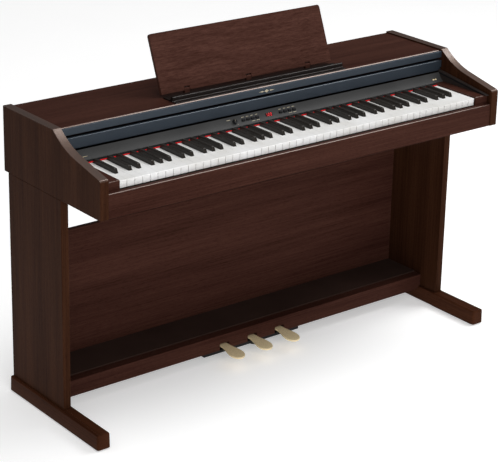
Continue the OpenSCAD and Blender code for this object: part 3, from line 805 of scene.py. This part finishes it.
class Keyboard:
    """Where each key lies, worked out from the frame's boxes."""

    def __init__(self, sizes):
        """Work out the pitch of the white keys from the first and the last of them."""
        self.gap = sizes.key_gap
        self.start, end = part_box("keys_a")[0].x - 0.5 * MM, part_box("keys_c")[1].x + 0.5 * MM
        self.pitch = (end - self.start) / WHITE_KEYS
        self.low, self.high = corners_of("keys_c")
        self.black_low, self.black_high = corners_of("keys_c_sharp")
        self.felt_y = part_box("felt_strip")[0].y
        self.black_half = sizes.black_width / 2

    def keys_of(self, semitone):
        """The keys of one semitone, from the bass up."""
        return [key for key in range(FIRST_KEY, LAST_KEY + 1) if key % 12 == semitone]

    def white_x(self, key):
        """The bass side of a white key's place."""
        white = key // 12 * 7 + WHITE_STEPS[key % 12] - 12
        return self.start + white * self.pitch

    def black_x(self, key):
        """The middle of a black key."""
        return self.white_x(key - 1) + self.pitch + BLACK_SHIFTS[key % 12]


class PIANO_OT_white_keys(PianoMaker, bpy.types.Operator):
    """Make the white keys, cut away beside the black ones, each with a plate over its skirt"""

    bl_idname = "piano.white_keys"
    bl_label = "White keys"

    def make(self):
        sizes, board = self.sizes, Keyboard(self.sizes)
        finish = moulded("ivory_satin", self.finishes.colours.white_key, 0.3, 0.0005, 0.01,
                         Specular_IOR_Level=0.4, Coat_Weight=0.3, Coat_Roughness=0.12)
        low, top = board.low[Z], board.high[Z]
        under = top - sizes.key_plate
        skirt = [[sizes.key_lip + 0.5 * MM, low], [sizes.key_lip, low + 0.5 * MM],
                 [sizes.key_lip, under], [0.0, under]]
        edge = eased(under, top, 0.0, 0.6 * MM, 3)
        profile = np.concatenate([skirt, edge[len(edge) // 2 :]])
        arm = eased(low, top - sizes.key_drop, 0.2 * MM, 0.2 * MM, 1)
        for semitone in WHITE_STEPS:
            shapes = []
            for key in board.keys_of(semitone):
                plan, tail = self.outlines(board, key)
                shapes += [carried(plan, profile, Z), carried(tail, arm, Z)]
            node = "keys_" + KEY_NAMES[semitone]
            piece(node + "_tops", shapes, finish, node, [node])

    def outlines(self, board, key):
        """Plan outlines of a key's playing surface and of its arm behind the felt."""
        left = board.white_x(key) + board.gap / 2
        right = board.white_x(key) + board.pitch - board.gap / 2
        a, b = left, right
        reach = board.black_half + 1 * MM
        if key > FIRST_KEY and (key - 1) % 12 in BLACK_SHIFTS:
            a = board.black_x(key - 1) + reach
        if key < LAST_KEY and (key + 1) % 12 in BLACK_SHIFTS:
            b = board.black_x(key + 1) - reach
        front, notch, back = board.low[Y], board.black_low[Y] - 1.5 * MM, board.felt_y
        plan = [[left, front], [right, front]]
        radius = [1.1 * MM, 1.1 * MM]
        if b < right:
            plan += [[right, notch], [b, notch]]
            radius += [1.0 * MM, 0.6 * MM]
        plan += [[b, back], [a, back]]
        radius += [0.0, 0.0]
        if a > left:
            plan += [[a, notch], [left, notch]]
            radius += [0.6 * MM, 1.0 * MM]
        tail = rectangle([a, back - 1 * MM], [b, board.high[Y]])
        return rounded(plan, radius, 3), tail


class PIANO_OT_black_keys(PianoMaker, bpy.types.Operator):
    """Make the black keys: one side outline, eased at both sides and narrower towards the top"""

    bl_idname = "piano.black_keys"
    bl_label = "Black keys"

    def make(self):
        board = Keyboard(self.sizes)
        finish = brushed("ebony_satin", self.finishes.colours.black_key, Y, 0.3,
                         Specular_IOR_Level=0.25)
        low, high = board.black_low, board.black_high
        rear, white_top = board.high[Z] - self.sizes.key_drop, board.high[Z]
        points = [
            [low[Y], low[Z] + 2 * MM], [high[Y] - 28 * MM, low[Z]], [high[Y], low[Z]],
            [high[Y], rear], [board.felt_y - 2 * MM, rear], [board.felt_y - 3 * MM, high[Z]],
            [low[Y] + 5 * MM, high[Z]], [low[Y], white_top + 1 * MM],
        ]
        radius = np.array([2, 2, 2, 2, 0.5, 2, 2.4, 2]) * MM
        outline = rounded(points, radius, 4)
        for semitone in BLACK_SHIFTS:
            shapes = []
            for key in board.keys_of(semitone):
                middle = board.black_x(key)
                profile = eased(middle - board.black_half, middle + board.black_half,
                                1.2 * MM, 1.2 * MM, 3)
                points, corners, sizes = carried(outline, profile, X)
                rise = np.clip((points[:, Z] - white_top) / (high[Z] - white_top), 0, 1)
                points[:, X] = middle + (points[:, X] - middle) * (1 - 0.08 * rise)
                shapes.append((points, corners, sizes))
            node = "keys_" + KEY_NAMES[semitone]
            piece(node + "_tops", shapes, finish, node, [node])


class PIANO_OT_felt(PianoMaker, bpy.types.Operator):
    """Make the red felt along the back of the keys, and a black strip of painted shade behind it"""

    bl_idname = "piano.felt"
    bl_label = "Felt"

    def make(self):
        low, high = corners_of("felt_strip")
        front, top = low[Y] + 3.5 * MM, high[Z] - 1.8 * MM
        finish = felted("wool_felt", self.finishes.colours.felt)
        roll = rounded(rectangle(low[[Y, Z]], [front, top]), [0.3 * MM] * 3 + [0.9 * MM])
        shape = lengthwise(roll, low, high, 0.3 * MM)
        piece("felt_roll", [shape], finish, "cabinet", ["felt_strip"])
        # The black strip behind the roll is painted shade: the dark band under the edge of the panel.
        shade_strip = rounded(rectangle([front, low[Z]], [high[Y], high[Z] - 0.4 * MM]), 0.6 * MM)
        shape = lengthwise(shade_strip, low, high, 0.3 * MM)
        piece("felt_batten", [shape], self.finishes.black(), "cabinet")


class PIANO_OT_buttons(PianoMaker, bpy.types.Operator):
    """Make the eight push buttons of the control panel"""

    bl_idname = "piano.buttons"
    bl_label = "Buttons"

    def make(self):
        half = 3 * MM
        for number in range(1, 9):
            node = f"button_{number}"
            low, high = corners_of(node)
            outline = rounded(rectangle([low[X], -half], [high[X], half]), 1.1 * MM)
            shape = carried(outline, eased(-7.2 * MM, 1.2 * MM, 0.2 * MM, 0.6 * MM), Z)
            piece(node + "_cap", [on_panel(shape)], self.finishes.black(), node,
                  [node])


class PIANO_OT_knob(PianoMaker, bpy.types.Operator):
    """Make the volume knob: a fluted grip on a skirt, with a pointer line"""

    bl_idname = "piano.knob"
    bl_label = "Volume knob"

    def make(self):
        low, high = corners_of("volume_knob")
        middle, radius = (low[X] + high[X]) / 2, (high[X] - low[X]) / 2
        rows = [
            [0, -9 * MM, 0], [3 * MM, -9 * MM, 0], [3 * MM, -0.9 * MM, 0],
            [radius - 0.3 * MM, -0.9 * MM, 0], [radius, -0.6 * MM, 0], [radius, 0.6 * MM, 0],
            [radius - 0.3 * MM, 0.9 * MM, 0], [radius - 0.9 * MM, 1.0 * MM, 0.3],
            [radius - 1.1 * MM, 1.3 * MM, 1], [radius - 1.4 * MM, 4.0 * MM, 1],
            [radius - 1.7 * MM, 4.4 * MM, 0.4], [radius - 2.1 * MM, 4.5 * MM, 0],
            [radius - 2.6 * MM, 4.3 * MM, 0], [0, 4.2 * MM, 0],
        ]
        grip = placed(revolved(rows, 96, 24, 0.035), [middle, 0, 0])
        piece("volume_grip", [on_panel(grip)], self.finishes.black(), "volume_knob",
              ["volume_knob"])
        line = rectangle([middle - 0.4 * MM, 1.2 * MM], [middle + 0.4 * MM, radius - 2.8 * MM])
        mark = carried(line, eased(4.1 * MM, 4.4 * MM, 0.05 * MM, 0.05 * MM, 1), Z)
        piece("volume_pointer", [on_panel(mark)], self.finishes.print(), "volume_knob")


class PIANO_OT_display(PianoMaker, bpy.types.Operator):
    """Make the three lit digits of the display, of seven segments each"""

    bl_idname = "piano.display"
    bl_label = "Display"

    SEGMENTS = {0: "abcdef", 1: "bc", 2: "abged"}
    TEMPO = (1, 2, 0)

    def make(self):
        shapes = []
        for place, digit in zip((-7.6 * MM, 0.0, 7.6 * MM), self.TEMPO):
            shapes += [on_panel(self.segment(place, name)) for name in self.SEGMENTS[digit]]
        finish = glowing("lit_red", self.finishes.colours.lit, 0.7)
        piece("display_digits", shapes, finish, "cabinet")

    def segment(self, middle, name):
        """A six-sided bar in the place that its letter has in a seven-segment digit."""
        half, thick = 2.0 * MM, 0.5 * MM
        lying = name in "agd"
        centre = {
            "a": (0, 2), "g": (0, 0), "d": (0, -2), "f": (-1, 1), "b": (1, 1), "e": (-1, -1),
            "c": (1, -1),
        }[name]
        reach = half - 0.25 * MM
        bar_points = np.array([
            [-reach, 0], [-reach + thick, -thick], [reach - thick, -thick],
            [reach, 0], [reach - thick, thick], [-reach + thick, thick],
        ])
        if not lying:
            bar_points = bar_points[:, ::-1]
        bar_points = bar_points + np.array(centre) * half
        bar_points[:, 0] += middle + 0.12 * bar_points[:, 1]
        return carried(bar_points, eased(-1.9 * MM, -1.68 * MM, 0.02 * MM, 0.05 * MM, 1), Z)


class PIANO_OT_panel_print(PianoMaker, bpy.types.Operator):
    """Make the plain dashes printed round the controls, and two small ornaments"""

    bl_idname = "piano.panel_print"
    bl_label = "Panel print"

    def make(self):
        dashes = []
        for number in range(1, 9):
            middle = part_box(f"button_{number}")[0].x / 2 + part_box(f"button_{number}")[1].x / 2
            dashes.append(self.dash(middle, 8.2 * MM, 8 * MM))
            if number in (3, 4, 7, 8):
                dashes.append(self.dash(middle, -7.8 * MM, 11 * MM))
        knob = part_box("volume_knob")
        dashes.append(self.dash(knob[0].x - 11 * MM, 7.5 * MM, 12 * MM))
        dashes.append(self.dash(knob[1].x + 1.5 * MM, -8.5 * MM, 2 * MM))
        piece("control_marks", dashes, self.finishes.print(), "cabinet")
        self.make_ornaments()

    def dash(self, middle, y, wide):
        """A flat dash that lies on the hollow face."""
        half = 0.45 * MM
        z = float(hollow(self.sizes, abs(y)))
        outline = rectangle([middle - wide / 2, y - half], [middle + wide / 2, y + half])
        profile = eased(z - 0.1 * MM, z + 0.12 * MM, 0.02 * MM, 0.05 * MM, 1)
        return on_panel(carried(outline, profile, Z))

    def make_ornaments(self):
        """A wave that dies away at the bass end, and a pair of lozenges at the treble end."""
        low, high = corners_of("control_panel")
        t = np.linspace(0, 1, 60)
        y = -5 * MM + 3.2 * MM * np.cos(5 * np.pi * t) * (1 - t)
        path = np.stack([low[X] + (12 + 46 * t) * MM, y, hollow(self.sizes, y)], axis=1)
        wave = swept(path, 0.2 * MM + 0.7 * MM * np.sin(np.pi * t) * (1 - 0.5 * t), [0, 0, 1])
        lozenges = [self.lozenge(high[X] - back, -4 * MM, 4.5 * MM) for back in (22 * MM, 31 * MM)]
        piece("gold_ornaments", [on_panel(wave), *lozenges], self.finishes.gold(), "cabinet")

    def lozenge(self, middle, y, half):
        """A flat lozenge that lies on the hollow face."""
        z, tall = float(hollow(self.sizes, abs(y))), half * 0.6
        outline = [[middle - half, y], [middle, y - tall], [middle + half, y], [middle, y + tall]]
        profile = eased(z - 0.2 * MM, z + 0.2 * MM, 0.02 * MM, 0.1 * MM, 1)
        return on_panel(carried(outline, profile, Z))


class PIANO_OT_emblem(PianoMaker, bpy.types.Operator):
    """Make the plain emblem in the middle of the fascia: a lozenge between two tapered bars"""

    bl_idname = "piano.emblem"
    bl_label = "Emblem"

    def make(self):
        low, high = corners_of("fascia")
        z = (low[Z] + high[Z]) / 2
        profile = eased(low[Y] - 0.25 * MM, low[Y] + 0.3 * MM, 0.1 * MM, 0.05 * MM, 2)
        lozenge = np.array([[-8, 0], [0, -4.8], [8, 0], [0, 4.8]]) * MM
        spike = np.array([[10, 0], [13, -2], [28, 0], [13, 2]]) * MM
        outlines = [lozenge, spike, spike * [-1, 1]]
        shapes = [carried(outline + [0, z], profile, Y) for outline in outlines]
        piece("fascia_emblem", shapes, self.finishes.print(), "cabinet")


class PIANO_OT_music_rest(PianoMaker, bpy.types.Operator):
    """Make the music rest, with its hinge notches and the ears of its prop, and the ledge"""

    bl_idname = "piano.music_rest"
    bl_label = "Music rest"

    def make(self):
        origin, axes = rest_frame()
        high = corners_of("music_rest")[1]
        half, thick = high[X], 5 * MM
        top = (high[Z] - origin[2] - thick * axes[2][1]) / axes[2][2]
        hinges = [-1, 0, 1] * np.array(half - 85 * MM)
        notches = [
            point
            for x in hinges
            for point in ([x - 9 * MM, -4 * MM], [x - 9 * MM, 7 * MM], [x + 9 * MM, 7 * MM],
                          [x + 9 * MM, -4 * MM])
        ]
        points = [[-half, -4 * MM], *notches, [half, -4 * MM], [half, top], [-half, top]]
        radius = [1.7 * MM] * (len(notches) + 2) + [9 * MM, 9 * MM]
        board = carried(rounded(points, radius, 8), eased(-thick, thick, 1 * MM, 1 * MM), Y)
        shapes = [placed(shape, origin, axes) for shape in [board, *self.ears(origin, axes)]]
        finish = self.finishes.rest()
        piece("music_rest_board", shapes, finish, "music_rest", ["music_rest"])
        self.make_ledge()

    def ears(self, origin, axes):
        """The two ears that hold the prop's pin, on the back of the board."""
        pivot = axes @ (np.array(JOINTS["rest_prop_fold"]["pos_m"]) - origin)
        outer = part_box("rest_prop")[1].x
        ear = 2.6 * MM
        a = np.linspace(-np.pi / 2, np.pi / 2, 13)
        nose = np.stack([pivot[1] + ear * np.cos(a), pivot[2] + ear * np.sin(a)], axis=1)
        outline = np.concatenate([[[3 * MM, pivot[2] - ear]], nose, [[3 * MM, pivot[2] + ear]]])
        inside, outside = outer - 7.5 * MM, outer + 0.5 * MM
        return [
            carried(outline, eased(*ends, 0.4 * MM, 0.4 * MM, 2), X)
            for ends in ((inside, outside), (-outside, -inside))
        ]

    def make_ledge(self):
        """The ledge: a rolled lip in front of a shallow trough, on a plate that reaches forward to
        the bevel of the top board."""
        low, high = corners_of("music_ledge")
        lip, plate = high[Z] - low[Z], low[Y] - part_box("top_board")[0].y - 4 * MM
        points = np.array([
            [-plate, 0], [-plate, 1.6 * MM], [0, 3 * MM], [0, lip], [8 * MM, lip],
            [12 * MM, 4 * MM], [high[Y] - low[Y], 4 * MM], [high[Y] - low[Y], 0],
        ])
        radius = np.array([0.5, 0.5, 1, 1.4, 1.6, 3, 1, 1]) * MM
        shape = lengthwise(rounded(points + [low[Y], low[Z]], radius), low, high, 0.3 * MM)
        satin = moulded("ledge_satin", (0.011, 0.0075, 0.0065), 0.4, 0.002, 0.01)
        # The sloped faces round the lip and the trough get a paler tint under a coat: the coat is real gloss, the
        # paler tint is a painted highlight.
        ledge_highlight = moulded("ledge_edge", (0.02, 0.015, 0.013), 0.3, 0.002, 0.01, Coat_Weight=1.0,
                            Coat_Roughness=0.2)
        replaced = ["music_ledge"]
        piece("music_ledge_rail", [shape], satin, "cabinet", replaced, ledge_highlight)


class PIANO_OT_legs(PianoMaker, bpy.types.Operator):
    """Make the two legs and the two feet, whose sides lean in a little"""

    bl_idname = "piano.legs"
    bl_label = "Legs and feet"

    def make(self):
        for side in ("left", "right"):
            leg = plank(side + "_leg", X, self.sizes.board_ease)
            piece(side + "_leg_board", [leg], self.finishes.side(), "cabinet",
                  [side + "_leg"])
            low, high = corners_of(side + "_foot")
            outline = rounded(rectangle(low[:2], high[:2]), CORNER * self.sizes.foot_round)
            top = eased(low[Z], high[Z], 0.0, self.sizes.foot_round)
            top = top[len(top) // 2 :] + [1 * MM, 0]
            bottom = [[1.5 * MM, low[Z]], [0.3 * MM, low[Z] + 0.3 * MM], [0, low[Z] + 1.5 * MM]]
            foot = carried(outline, np.concatenate([bottom, top]), Z)
            piece(side + "_foot_block", [foot], self.finishes.foot(), "cabinet",
                  [side + "_foot"])


class PIANO_OT_stand_boards(PianoMaker, bpy.types.Operator):
    """Make the board between the legs, the pedal rail with its openings, and the shelf"""

    bl_idname = "piano.stand_boards"
    bl_label = "Stand boards"

    def make(self):
        back = plank("stand_back", Y, 0.8 * MM)
        piece("stand_back_board", [back], self.finishes.board(), "cabinet", ["stand_back"])
        shelf = plank("pedal_shelf", Z, 0.8 * MM)
        finish = moulded("black_laminate", (0.04, 0.023, 0.0185), 0.5, 0.0015, 0.02,
                         Specular_IOR_Level=0.02)
        piece("pedal_shelf_board", [shelf], finish, "cabinet", ["pedal_shelf"])
        self.make_rail()

    def make_rail(self):
        """The pedal rail, cut away over the feet and round the three pedals."""
        low, high = corners_of("pedal_rail")
        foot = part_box("right_foot")
        slot_top = low[Z] + 20 * MM
        points = [[-foot[0].x, foot[1].z], [-foot[0].x, low[Z]]]
        for name in ("left_pedal", "middle_pedal", "right_pedal"):
            middle = (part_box(name)[0].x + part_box(name)[1].x) / 2
            for x, z in ((-1, low[Z]), (-1, slot_top), (1, slot_top), (1, low[Z])):
                points.append([middle + x * 16.5 * MM, z])
        points += [[foot[0].x, low[Z]], [foot[0].x, foot[1].z], [high[X], foot[1].z],
                   [high[X], high[Z]], [low[X], high[Z]], [low[X], foot[1].z]]
        profile = eased(low[Y], high[Y], self.sizes.board_ease, 0.5 * MM)
        rail = carried(rounded(points, CORNER * self.sizes.board_ease), profile, Y)
        piece("pedal_rail_board", [rail], self.finishes.board(), "cabinet", ["pedal_rail"])


class PIANO_OT_pedals(PianoMaker, bpy.types.Operator):
    """Make the three pedals: a domed paddle that narrows to its neck, and the lever behind it"""

    bl_idname = "piano.pedals"
    bl_label = "Pedals"

    def make(self):
        for name in ("left_pedal", "middle_pedal", "right_pedal"):
            low, high = corners_of(name)
            joint = JOINTS[name + "_press"]["pos_m"]
            middle, wide = (low[X] + high[X]) / 2, (high[X] - low[X]) / 2
            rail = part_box("pedal_rail")
            top = joint[2] - 2 * MM
            stop = rail[1].y + 4 * MM
            paddle = self.paddle(middle, low[Y], rail[0].y, stop, wide, 13.5 * MM, top)
            lever = rectangle([middle - 6 * MM, rail[1].y], [middle + 6 * MM, joint[1] - 6 * MM])
            thick = self.sizes.pedal_thickness
            arm = carried(lever, eased(top - thick, top, 0.3 * MM, 0.3 * MM, 2), Z)
            hub = [
                [4.05 * MM, -12 * MM], [8 * MM, -12 * MM], [8 * MM, 12 * MM], [4.05 * MM, 12 * MM],
            ]
            turned = placed(turned_over(ringed(hub[::-1], 40)), [middle, joint[1], joint[2]],
                            [[0, 1, 0], [0, 0, 1], [1, 0, 0]])
            gold = self.finishes.gold()
            piece(name + "_lever", [paddle, arm, turned], gold, name, [name])

    def paddle(self, middle, tip, rail, back, wide, neck, top):
        """S(u, v): u runs round the plan, and v from the spine below, out over the round rim and
        back to the spine on top. The top falls towards the tip and swells along the middle."""
        nose = wide * 1.15
        a = np.linspace(-np.pi / 2, np.pi / 2, 33)
        front = np.stack([wide * np.sin(a), tip + nose * (1 - np.cos(a))], axis=1)
        t = np.linspace(0, 1, 13)[1:]
        narrowing = wide + (neck - wide) * (3 * t**2 - 2 * t**3)
        side_y = tip + nose + (rail - 4 * MM - tip - nose) * t
        right = np.stack([narrowing, side_y], axis=1)
        right = np.concatenate([right, [[neck, back]]])
        plan = np.concatenate([front, right, right[::-1] * [-1, 1]])
        side = np.roll(plan, -1, 0) - np.roll(plan, 1, 0)
        side /= np.linalg.norm(side, axis=1, keepdims=True)
        inward = np.stack([-side[:, 1], side[:, 0]], axis=1)
        round_rim = 2.2 * MM
        b = np.linspace(0, np.pi / 2, 6)
        shares = np.array([0.0, 0.35, 0.7, 1.0])
        rings, heights = [], []
        for share in shares[::-1]:
            rings.append((1.0, share))
            heights.append((1.0, 0.0))
        for angle in b[1:]:
            rings.append((1 - math.sin(angle), 0.0))
            heights.append((1.0, 1 - math.cos(angle)))
        for angle in b[::-1]:
            rings.append((1 - math.sin(angle), 0.0))
            heights.append((0.0, 1 - math.cos(angle)))
        for share in shares[1:]:
            rings.append((1.0, share))
            heights.append((0.0, -1.0 * share * (2 - share)))
        inset, share = np.array(rings).T[:, :, None]
        lower, drop = np.array(heights).T[:, :, None]
        flat = plan + round_rim * inset[..., None] * inward
        spine = np.stack([0 * flat[..., 0], np.clip(flat[..., 1], tip + nose, None)], axis=-1)
        flat = flat + (spine - flat) * share[..., None]
        reach = np.clip((rail - flat[..., 1]) / (rail - tip), 0, 1)
        fall = top - 7.5 * MM * reach**1.5
        thick = self.sizes.pedal_thickness
        upper = -drop * np.where(drop < 0, 0.5 * MM, round_rim)
        rim = np.where(lower > 0, -thick + drop * round_rim, upper)
        height = fall + rim
        points = np.concatenate([flat + [middle, 0], height[..., None]], axis=-1)
        corners, sizes = wound(len(rings), len(plan))
        return points.reshape(-1, 3), corners, sizes


class PIANO_OT_sound(PianoMaker, bpy.types.Operator):
    """Make the speakers' grilles below the key bed, and the collars of the headphone jacks"""

    bl_idname = "piano.sound"
    bl_label = "Grilles and jack collars"

    def make(self):
        bed_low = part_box("key_bed")[0].z
        speakers = corners_of("speakers")
        outer = (speakers[1][Y] - speakers[0][Y]) / 2
        opening = outer - 12.3 * MM
        middle_y = (speakers[0][Y] + speakers[1][Y]) / 2
        middle_x = speakers[1][X] - outer
        shapes = []
        for x in (-middle_x, middle_x):
            for radius in np.arange(6 * MM, opening, 4.9 * MM):
                wire = ringed([[radius, 1 * MM], [radius + 1.6 * MM, 1 * MM],
                               [radius + 1.6 * MM, 2.2 * MM], [radius, 2.2 * MM]], 40)
                shapes.append(placed(turned_over(wire), [x, middle_y, bed_low]))
            for spoke in np.arange(4) * np.pi / 4:
                c, s = math.cos(spoke), math.sin(spoke)
                blade = carried(rectangle([-opening, -0.8 * MM], [opening, 0.8 * MM]),
                                eased(2 * MM, 4 * MM, 0.2 * MM, 0.2 * MM, 1), Z)
                axes = [[c, s, 0], [-s, c, 0], [0, 0, 1]]
                shapes.append(placed(blade, [x, middle_y, bed_low], axes))
        piece("speaker_grilles", shapes, self.finishes.black(), "cabinet")
        self.make_collars()

    def make_collars(self):
        """A steel collar round each headphone jack."""
        rows = np.array([
            [3.3, 0.3], [3.3, -0.9], [3.6, -1.2], [5.0, -1.2], [5.4, -0.8], [5.4, 0.3],
        ])
        axes = [[1, 0, 0], [0, 0, -1], [0, 1, 0]]
        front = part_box("jack_box")[0].y
        shapes = []
        for name in ("phones_jack_1", "phones_jack_2"):
            x, _, z = MOUNTS[name]["pos_m"]
            shapes.append(placed(turned_over(ringed(rows * MM, 32)), [x, front, z], axes))
        piece("jack_collars", shapes, self.finishes.steel(), "cabinet")


class PIANO_OT_frame_finishes(PianoMaker, bpy.types.Operator):
    """Give the frame's own parts, whose shapes are kept, their finishes"""

    bl_idname = "piano.frame_finishes"
    bl_label = "Finishes of the frame's parts"

    def make(self):
        finishes = self.finishes
        window = moulded("window_red", (0.02, 0.002, 0.003), 0.35, 0.002, 0.005)
        rubber = moulded("pad_rubber", (0.02, 0.02, 0.02), 0.8, 0.0006, 0.1)
        hardboard = moulded("hardboard", (0.02, 0.013, 0.011), 0.6, 0.0012, 0.12)
        cone = moulded("speaker_paper", (0.018, 0.017, 0.016), 0.75, 0.001, 0.1)
        wanted = {
            "control_panel": finishes.panel(),
            "display_window": window,
            "circuit_boards": printed_circuit("circuit_green"),
            "lid_panel": finishes.board(),
            "lid_rails": moulded("lining_satin", (0.038, 0.029, 0.026), 0.5),
            "cabinet_back": hardboard,
            "key_bed": hardboard,
            "speakers": cone,
            "foot_pads": rubber,
            "rest_hinge": finishes.rest(),
        }
        for node in ("jack_box", "pedal_box", "pedal_adjuster"):
            wanted[node] = finishes.black()
        for node in ("key_frame", "pedal_shaft", "pedal_springs", "stand_screws", "rest_prop",
                     "lid_shaft"):
            wanted[node] = finishes.steel()
        for node, finish in wanted.items():
            materials = frame["nodes"][node].data.materials
            materials.clear()
            materials.append(finish)


class PIANO_OT_stage(bpy.types.Operator):
    """Make the floor, the soft studio light and the camera"""

    bl_idname = "piano.stage"
    bl_label = "Stage"
    bl_options = {"REGISTER", "UNDO"}

    LIGHTS = {"key_light": ((2.63, -0.65, 4.3), 2.0), "fill_light": ((-1.8, -5.2, 2.4), 3.0)}

    def execute(self, context):
        """Make the floor, the surroundings, the two lights and the camera."""
        stage = context.scene.piano_stage
        self.make_floor(stage)
        self.make_surround(context.scene, stage)
        for name, (place, size) in self.LIGHTS.items():
            self.make_light(name, place, size, getattr(stage, name))
        self.make_camera(context.scene, stage)
        return {"FINISHED"}

    def make_floor(self, stage):
        """A wide level sheet a hair below the pads."""
        reach, below = 40.0, -0.0002
        square = rectangle([-reach, -reach], [reach, reach])
        points = np.append(square, np.full((4, 1), below), axis=1)
        mesh = bpy.data.meshes.new("floor")
        mesh.from_pydata(points.tolist(), [], [(0, 1, 2, 3)])
        material, tree, shader, place = new_finish(
            "floor_paper", Roughness=0.9, Emission_Strength=0.36, Emission_Color=(1, 1, 1, 1)
        )
        mottle = stretched(tree, place, [0.4] * 3, 2.0)
        pale = ramp(tree, mottle, [c * 0.985 for c in stage.floor], stage.floor)
        tree.links.new(pale, shader.inputs["Base Color"])
        mesh.materials.append(material)
        floor = bpy.data.objects.new("floor", mesh)
        bpy.context.scene.collection.objects.link(floor)

    def make_surround(self, scene, stage):
        """White surroundings, bright overhead and dim at the horizon; colours shown as they are."""
        scene.world = bpy.data.worlds.new("surround")
        scene.world.use_nodes = True
        tree = scene.world.node_tree
        background = tree.nodes["Background"]
        background.inputs["Color"].default_value = (1.0, 1.0, 1.0, 1.0)
        direction = add(tree, "TexCoord").outputs["Generated"]
        height = add(tree, "SeparateXYZ", {"Vector": direction}).outputs["Z"]
        share = calculated(tree, "POWER", calculated(tree, "MAXIMUM", height, 0.0), 2.0)
        strength = between(tree, share, stage.horizon, stage.sky)
        tree.links.new(strength, background.inputs["Strength"])
        scene.view_settings.view_transform = "Standard"

    def make_light(self, name, place, size, power):
        """A square area light that faces the middle of the piano."""
        light = bpy.data.lights.new(name, "AREA")
        light.size = size
        light.energy = power
        lamp = bpy.data.objects.new(name, light)
        bpy.context.scene.collection.objects.link(lamp)
        middle = (CAD_BOX[0] + CAD_BOX[1]) / 2
        lamp.location = place
        lamp.rotation_euler = (middle - lamp.location).to_track_quat("-Z", "Y").to_euler()

    def make_camera(self, scene, stage):
        """The camera looks against its back direction, and is rolled about it."""
        data = bpy.data.cameras.new("camera")
        data.sensor_width = 36.0
        data.lens = stage.lens
        data.shift_y = stage.lens_shift
        camera = bpy.data.objects.new("camera", data)
        scene.collection.objects.link(camera)
        azimuth, elevation, roll = stage.camera_turn
        turn = (
            Matrix.Rotation(azimuth, 4, "Z")
            @ Matrix.Rotation(math.pi / 2 - elevation, 4, "X")
            @ Matrix.Rotation(roll, 4, "Z")
        )
        camera.matrix_world = Matrix.Translation(stage.camera_place) @ turn
        scene.camera = camera


class PIANO_PT_panel(bpy.types.Panel):
    """The piano's sizes, colours and operators"""

    bl_label = "Digital piano"
    bl_idname = "PIANO_PT_panel"
    bl_space_type = "VIEW_3D"
    bl_region_type = "UI"
    bl_category = "Piano"

    def draw(self, context):
        """List the sizes, the colours, the stage and the operators."""
        scene = context.scene
        for group in (scene.piano_sizes, scene.piano_colours, scene.piano_stage):
            column = self.layout.column()
            for name in group.bl_rna.properties.keys():
                if name not in ("rna_type", "name"):
                    column.prop(group, name)
        for operator in OPERATORS:
            self.layout.operator(operator.bl_idname)


GROUPS = (PianoSizes, PianoColours, PianoStage)
OPERATORS = (
    PIANO_OT_cheeks, PIANO_OT_top, PIANO_OT_lid, PIANO_OT_key_slip, PIANO_OT_white_keys,
    PIANO_OT_black_keys, PIANO_OT_felt, PIANO_OT_buttons, PIANO_OT_knob, PIANO_OT_display,
    PIANO_OT_panel_print, PIANO_OT_emblem, PIANO_OT_music_rest, PIANO_OT_legs,
    PIANO_OT_stand_boards, PIANO_OT_pedals, PIANO_OT_sound, PIANO_OT_frame_finishes,
    PIANO_OT_stage,
)


def register():
    """Add the classes, and the three groups to the scene."""
    for cls in (*GROUPS, *OPERATORS, PIANO_PT_panel):
        bpy.utils.register_class(cls)
    bpy.types.Scene.piano_sizes = bpy.props.PointerProperty(type=PianoSizes)
    bpy.types.Scene.piano_colours = bpy.props.PointerProperty(type=PianoColours)
    bpy.types.Scene.piano_stage = bpy.props.PointerProperty(type=PianoStage)


def unregister():
    """Take them away again."""
    del bpy.types.Scene.piano_stage
    del bpy.types.Scene.piano_colours
    del bpy.types.Scene.piano_sizes
    for cls in (PIANO_PT_panel, *reversed(OPERATORS), *reversed(GROUPS)):
        bpy.utils.unregister_class(cls)


def main():
    """Register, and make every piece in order."""
    register()
    bpy.ops.piano.stage()
    bpy.ops.piano.cheeks()
    bpy.ops.piano.top()
    bpy.ops.piano.lid()
    bpy.ops.piano.key_slip()
    bpy.ops.piano.white_keys()
    bpy.ops.piano.black_keys()
    bpy.ops.piano.felt()
    bpy.ops.piano.buttons()
    bpy.ops.piano.knob()
    bpy.ops.piano.display()
    bpy.ops.piano.panel_print()
    bpy.ops.piano.emblem()
    bpy.ops.piano.music_rest()
    bpy.ops.piano.legs()
    bpy.ops.piano.stand_boards()
    bpy.ops.piano.pedals()
    bpy.ops.piano.sound()
    bpy.ops.piano.frame_finishes()


if __name__ == "__main__":
    main()
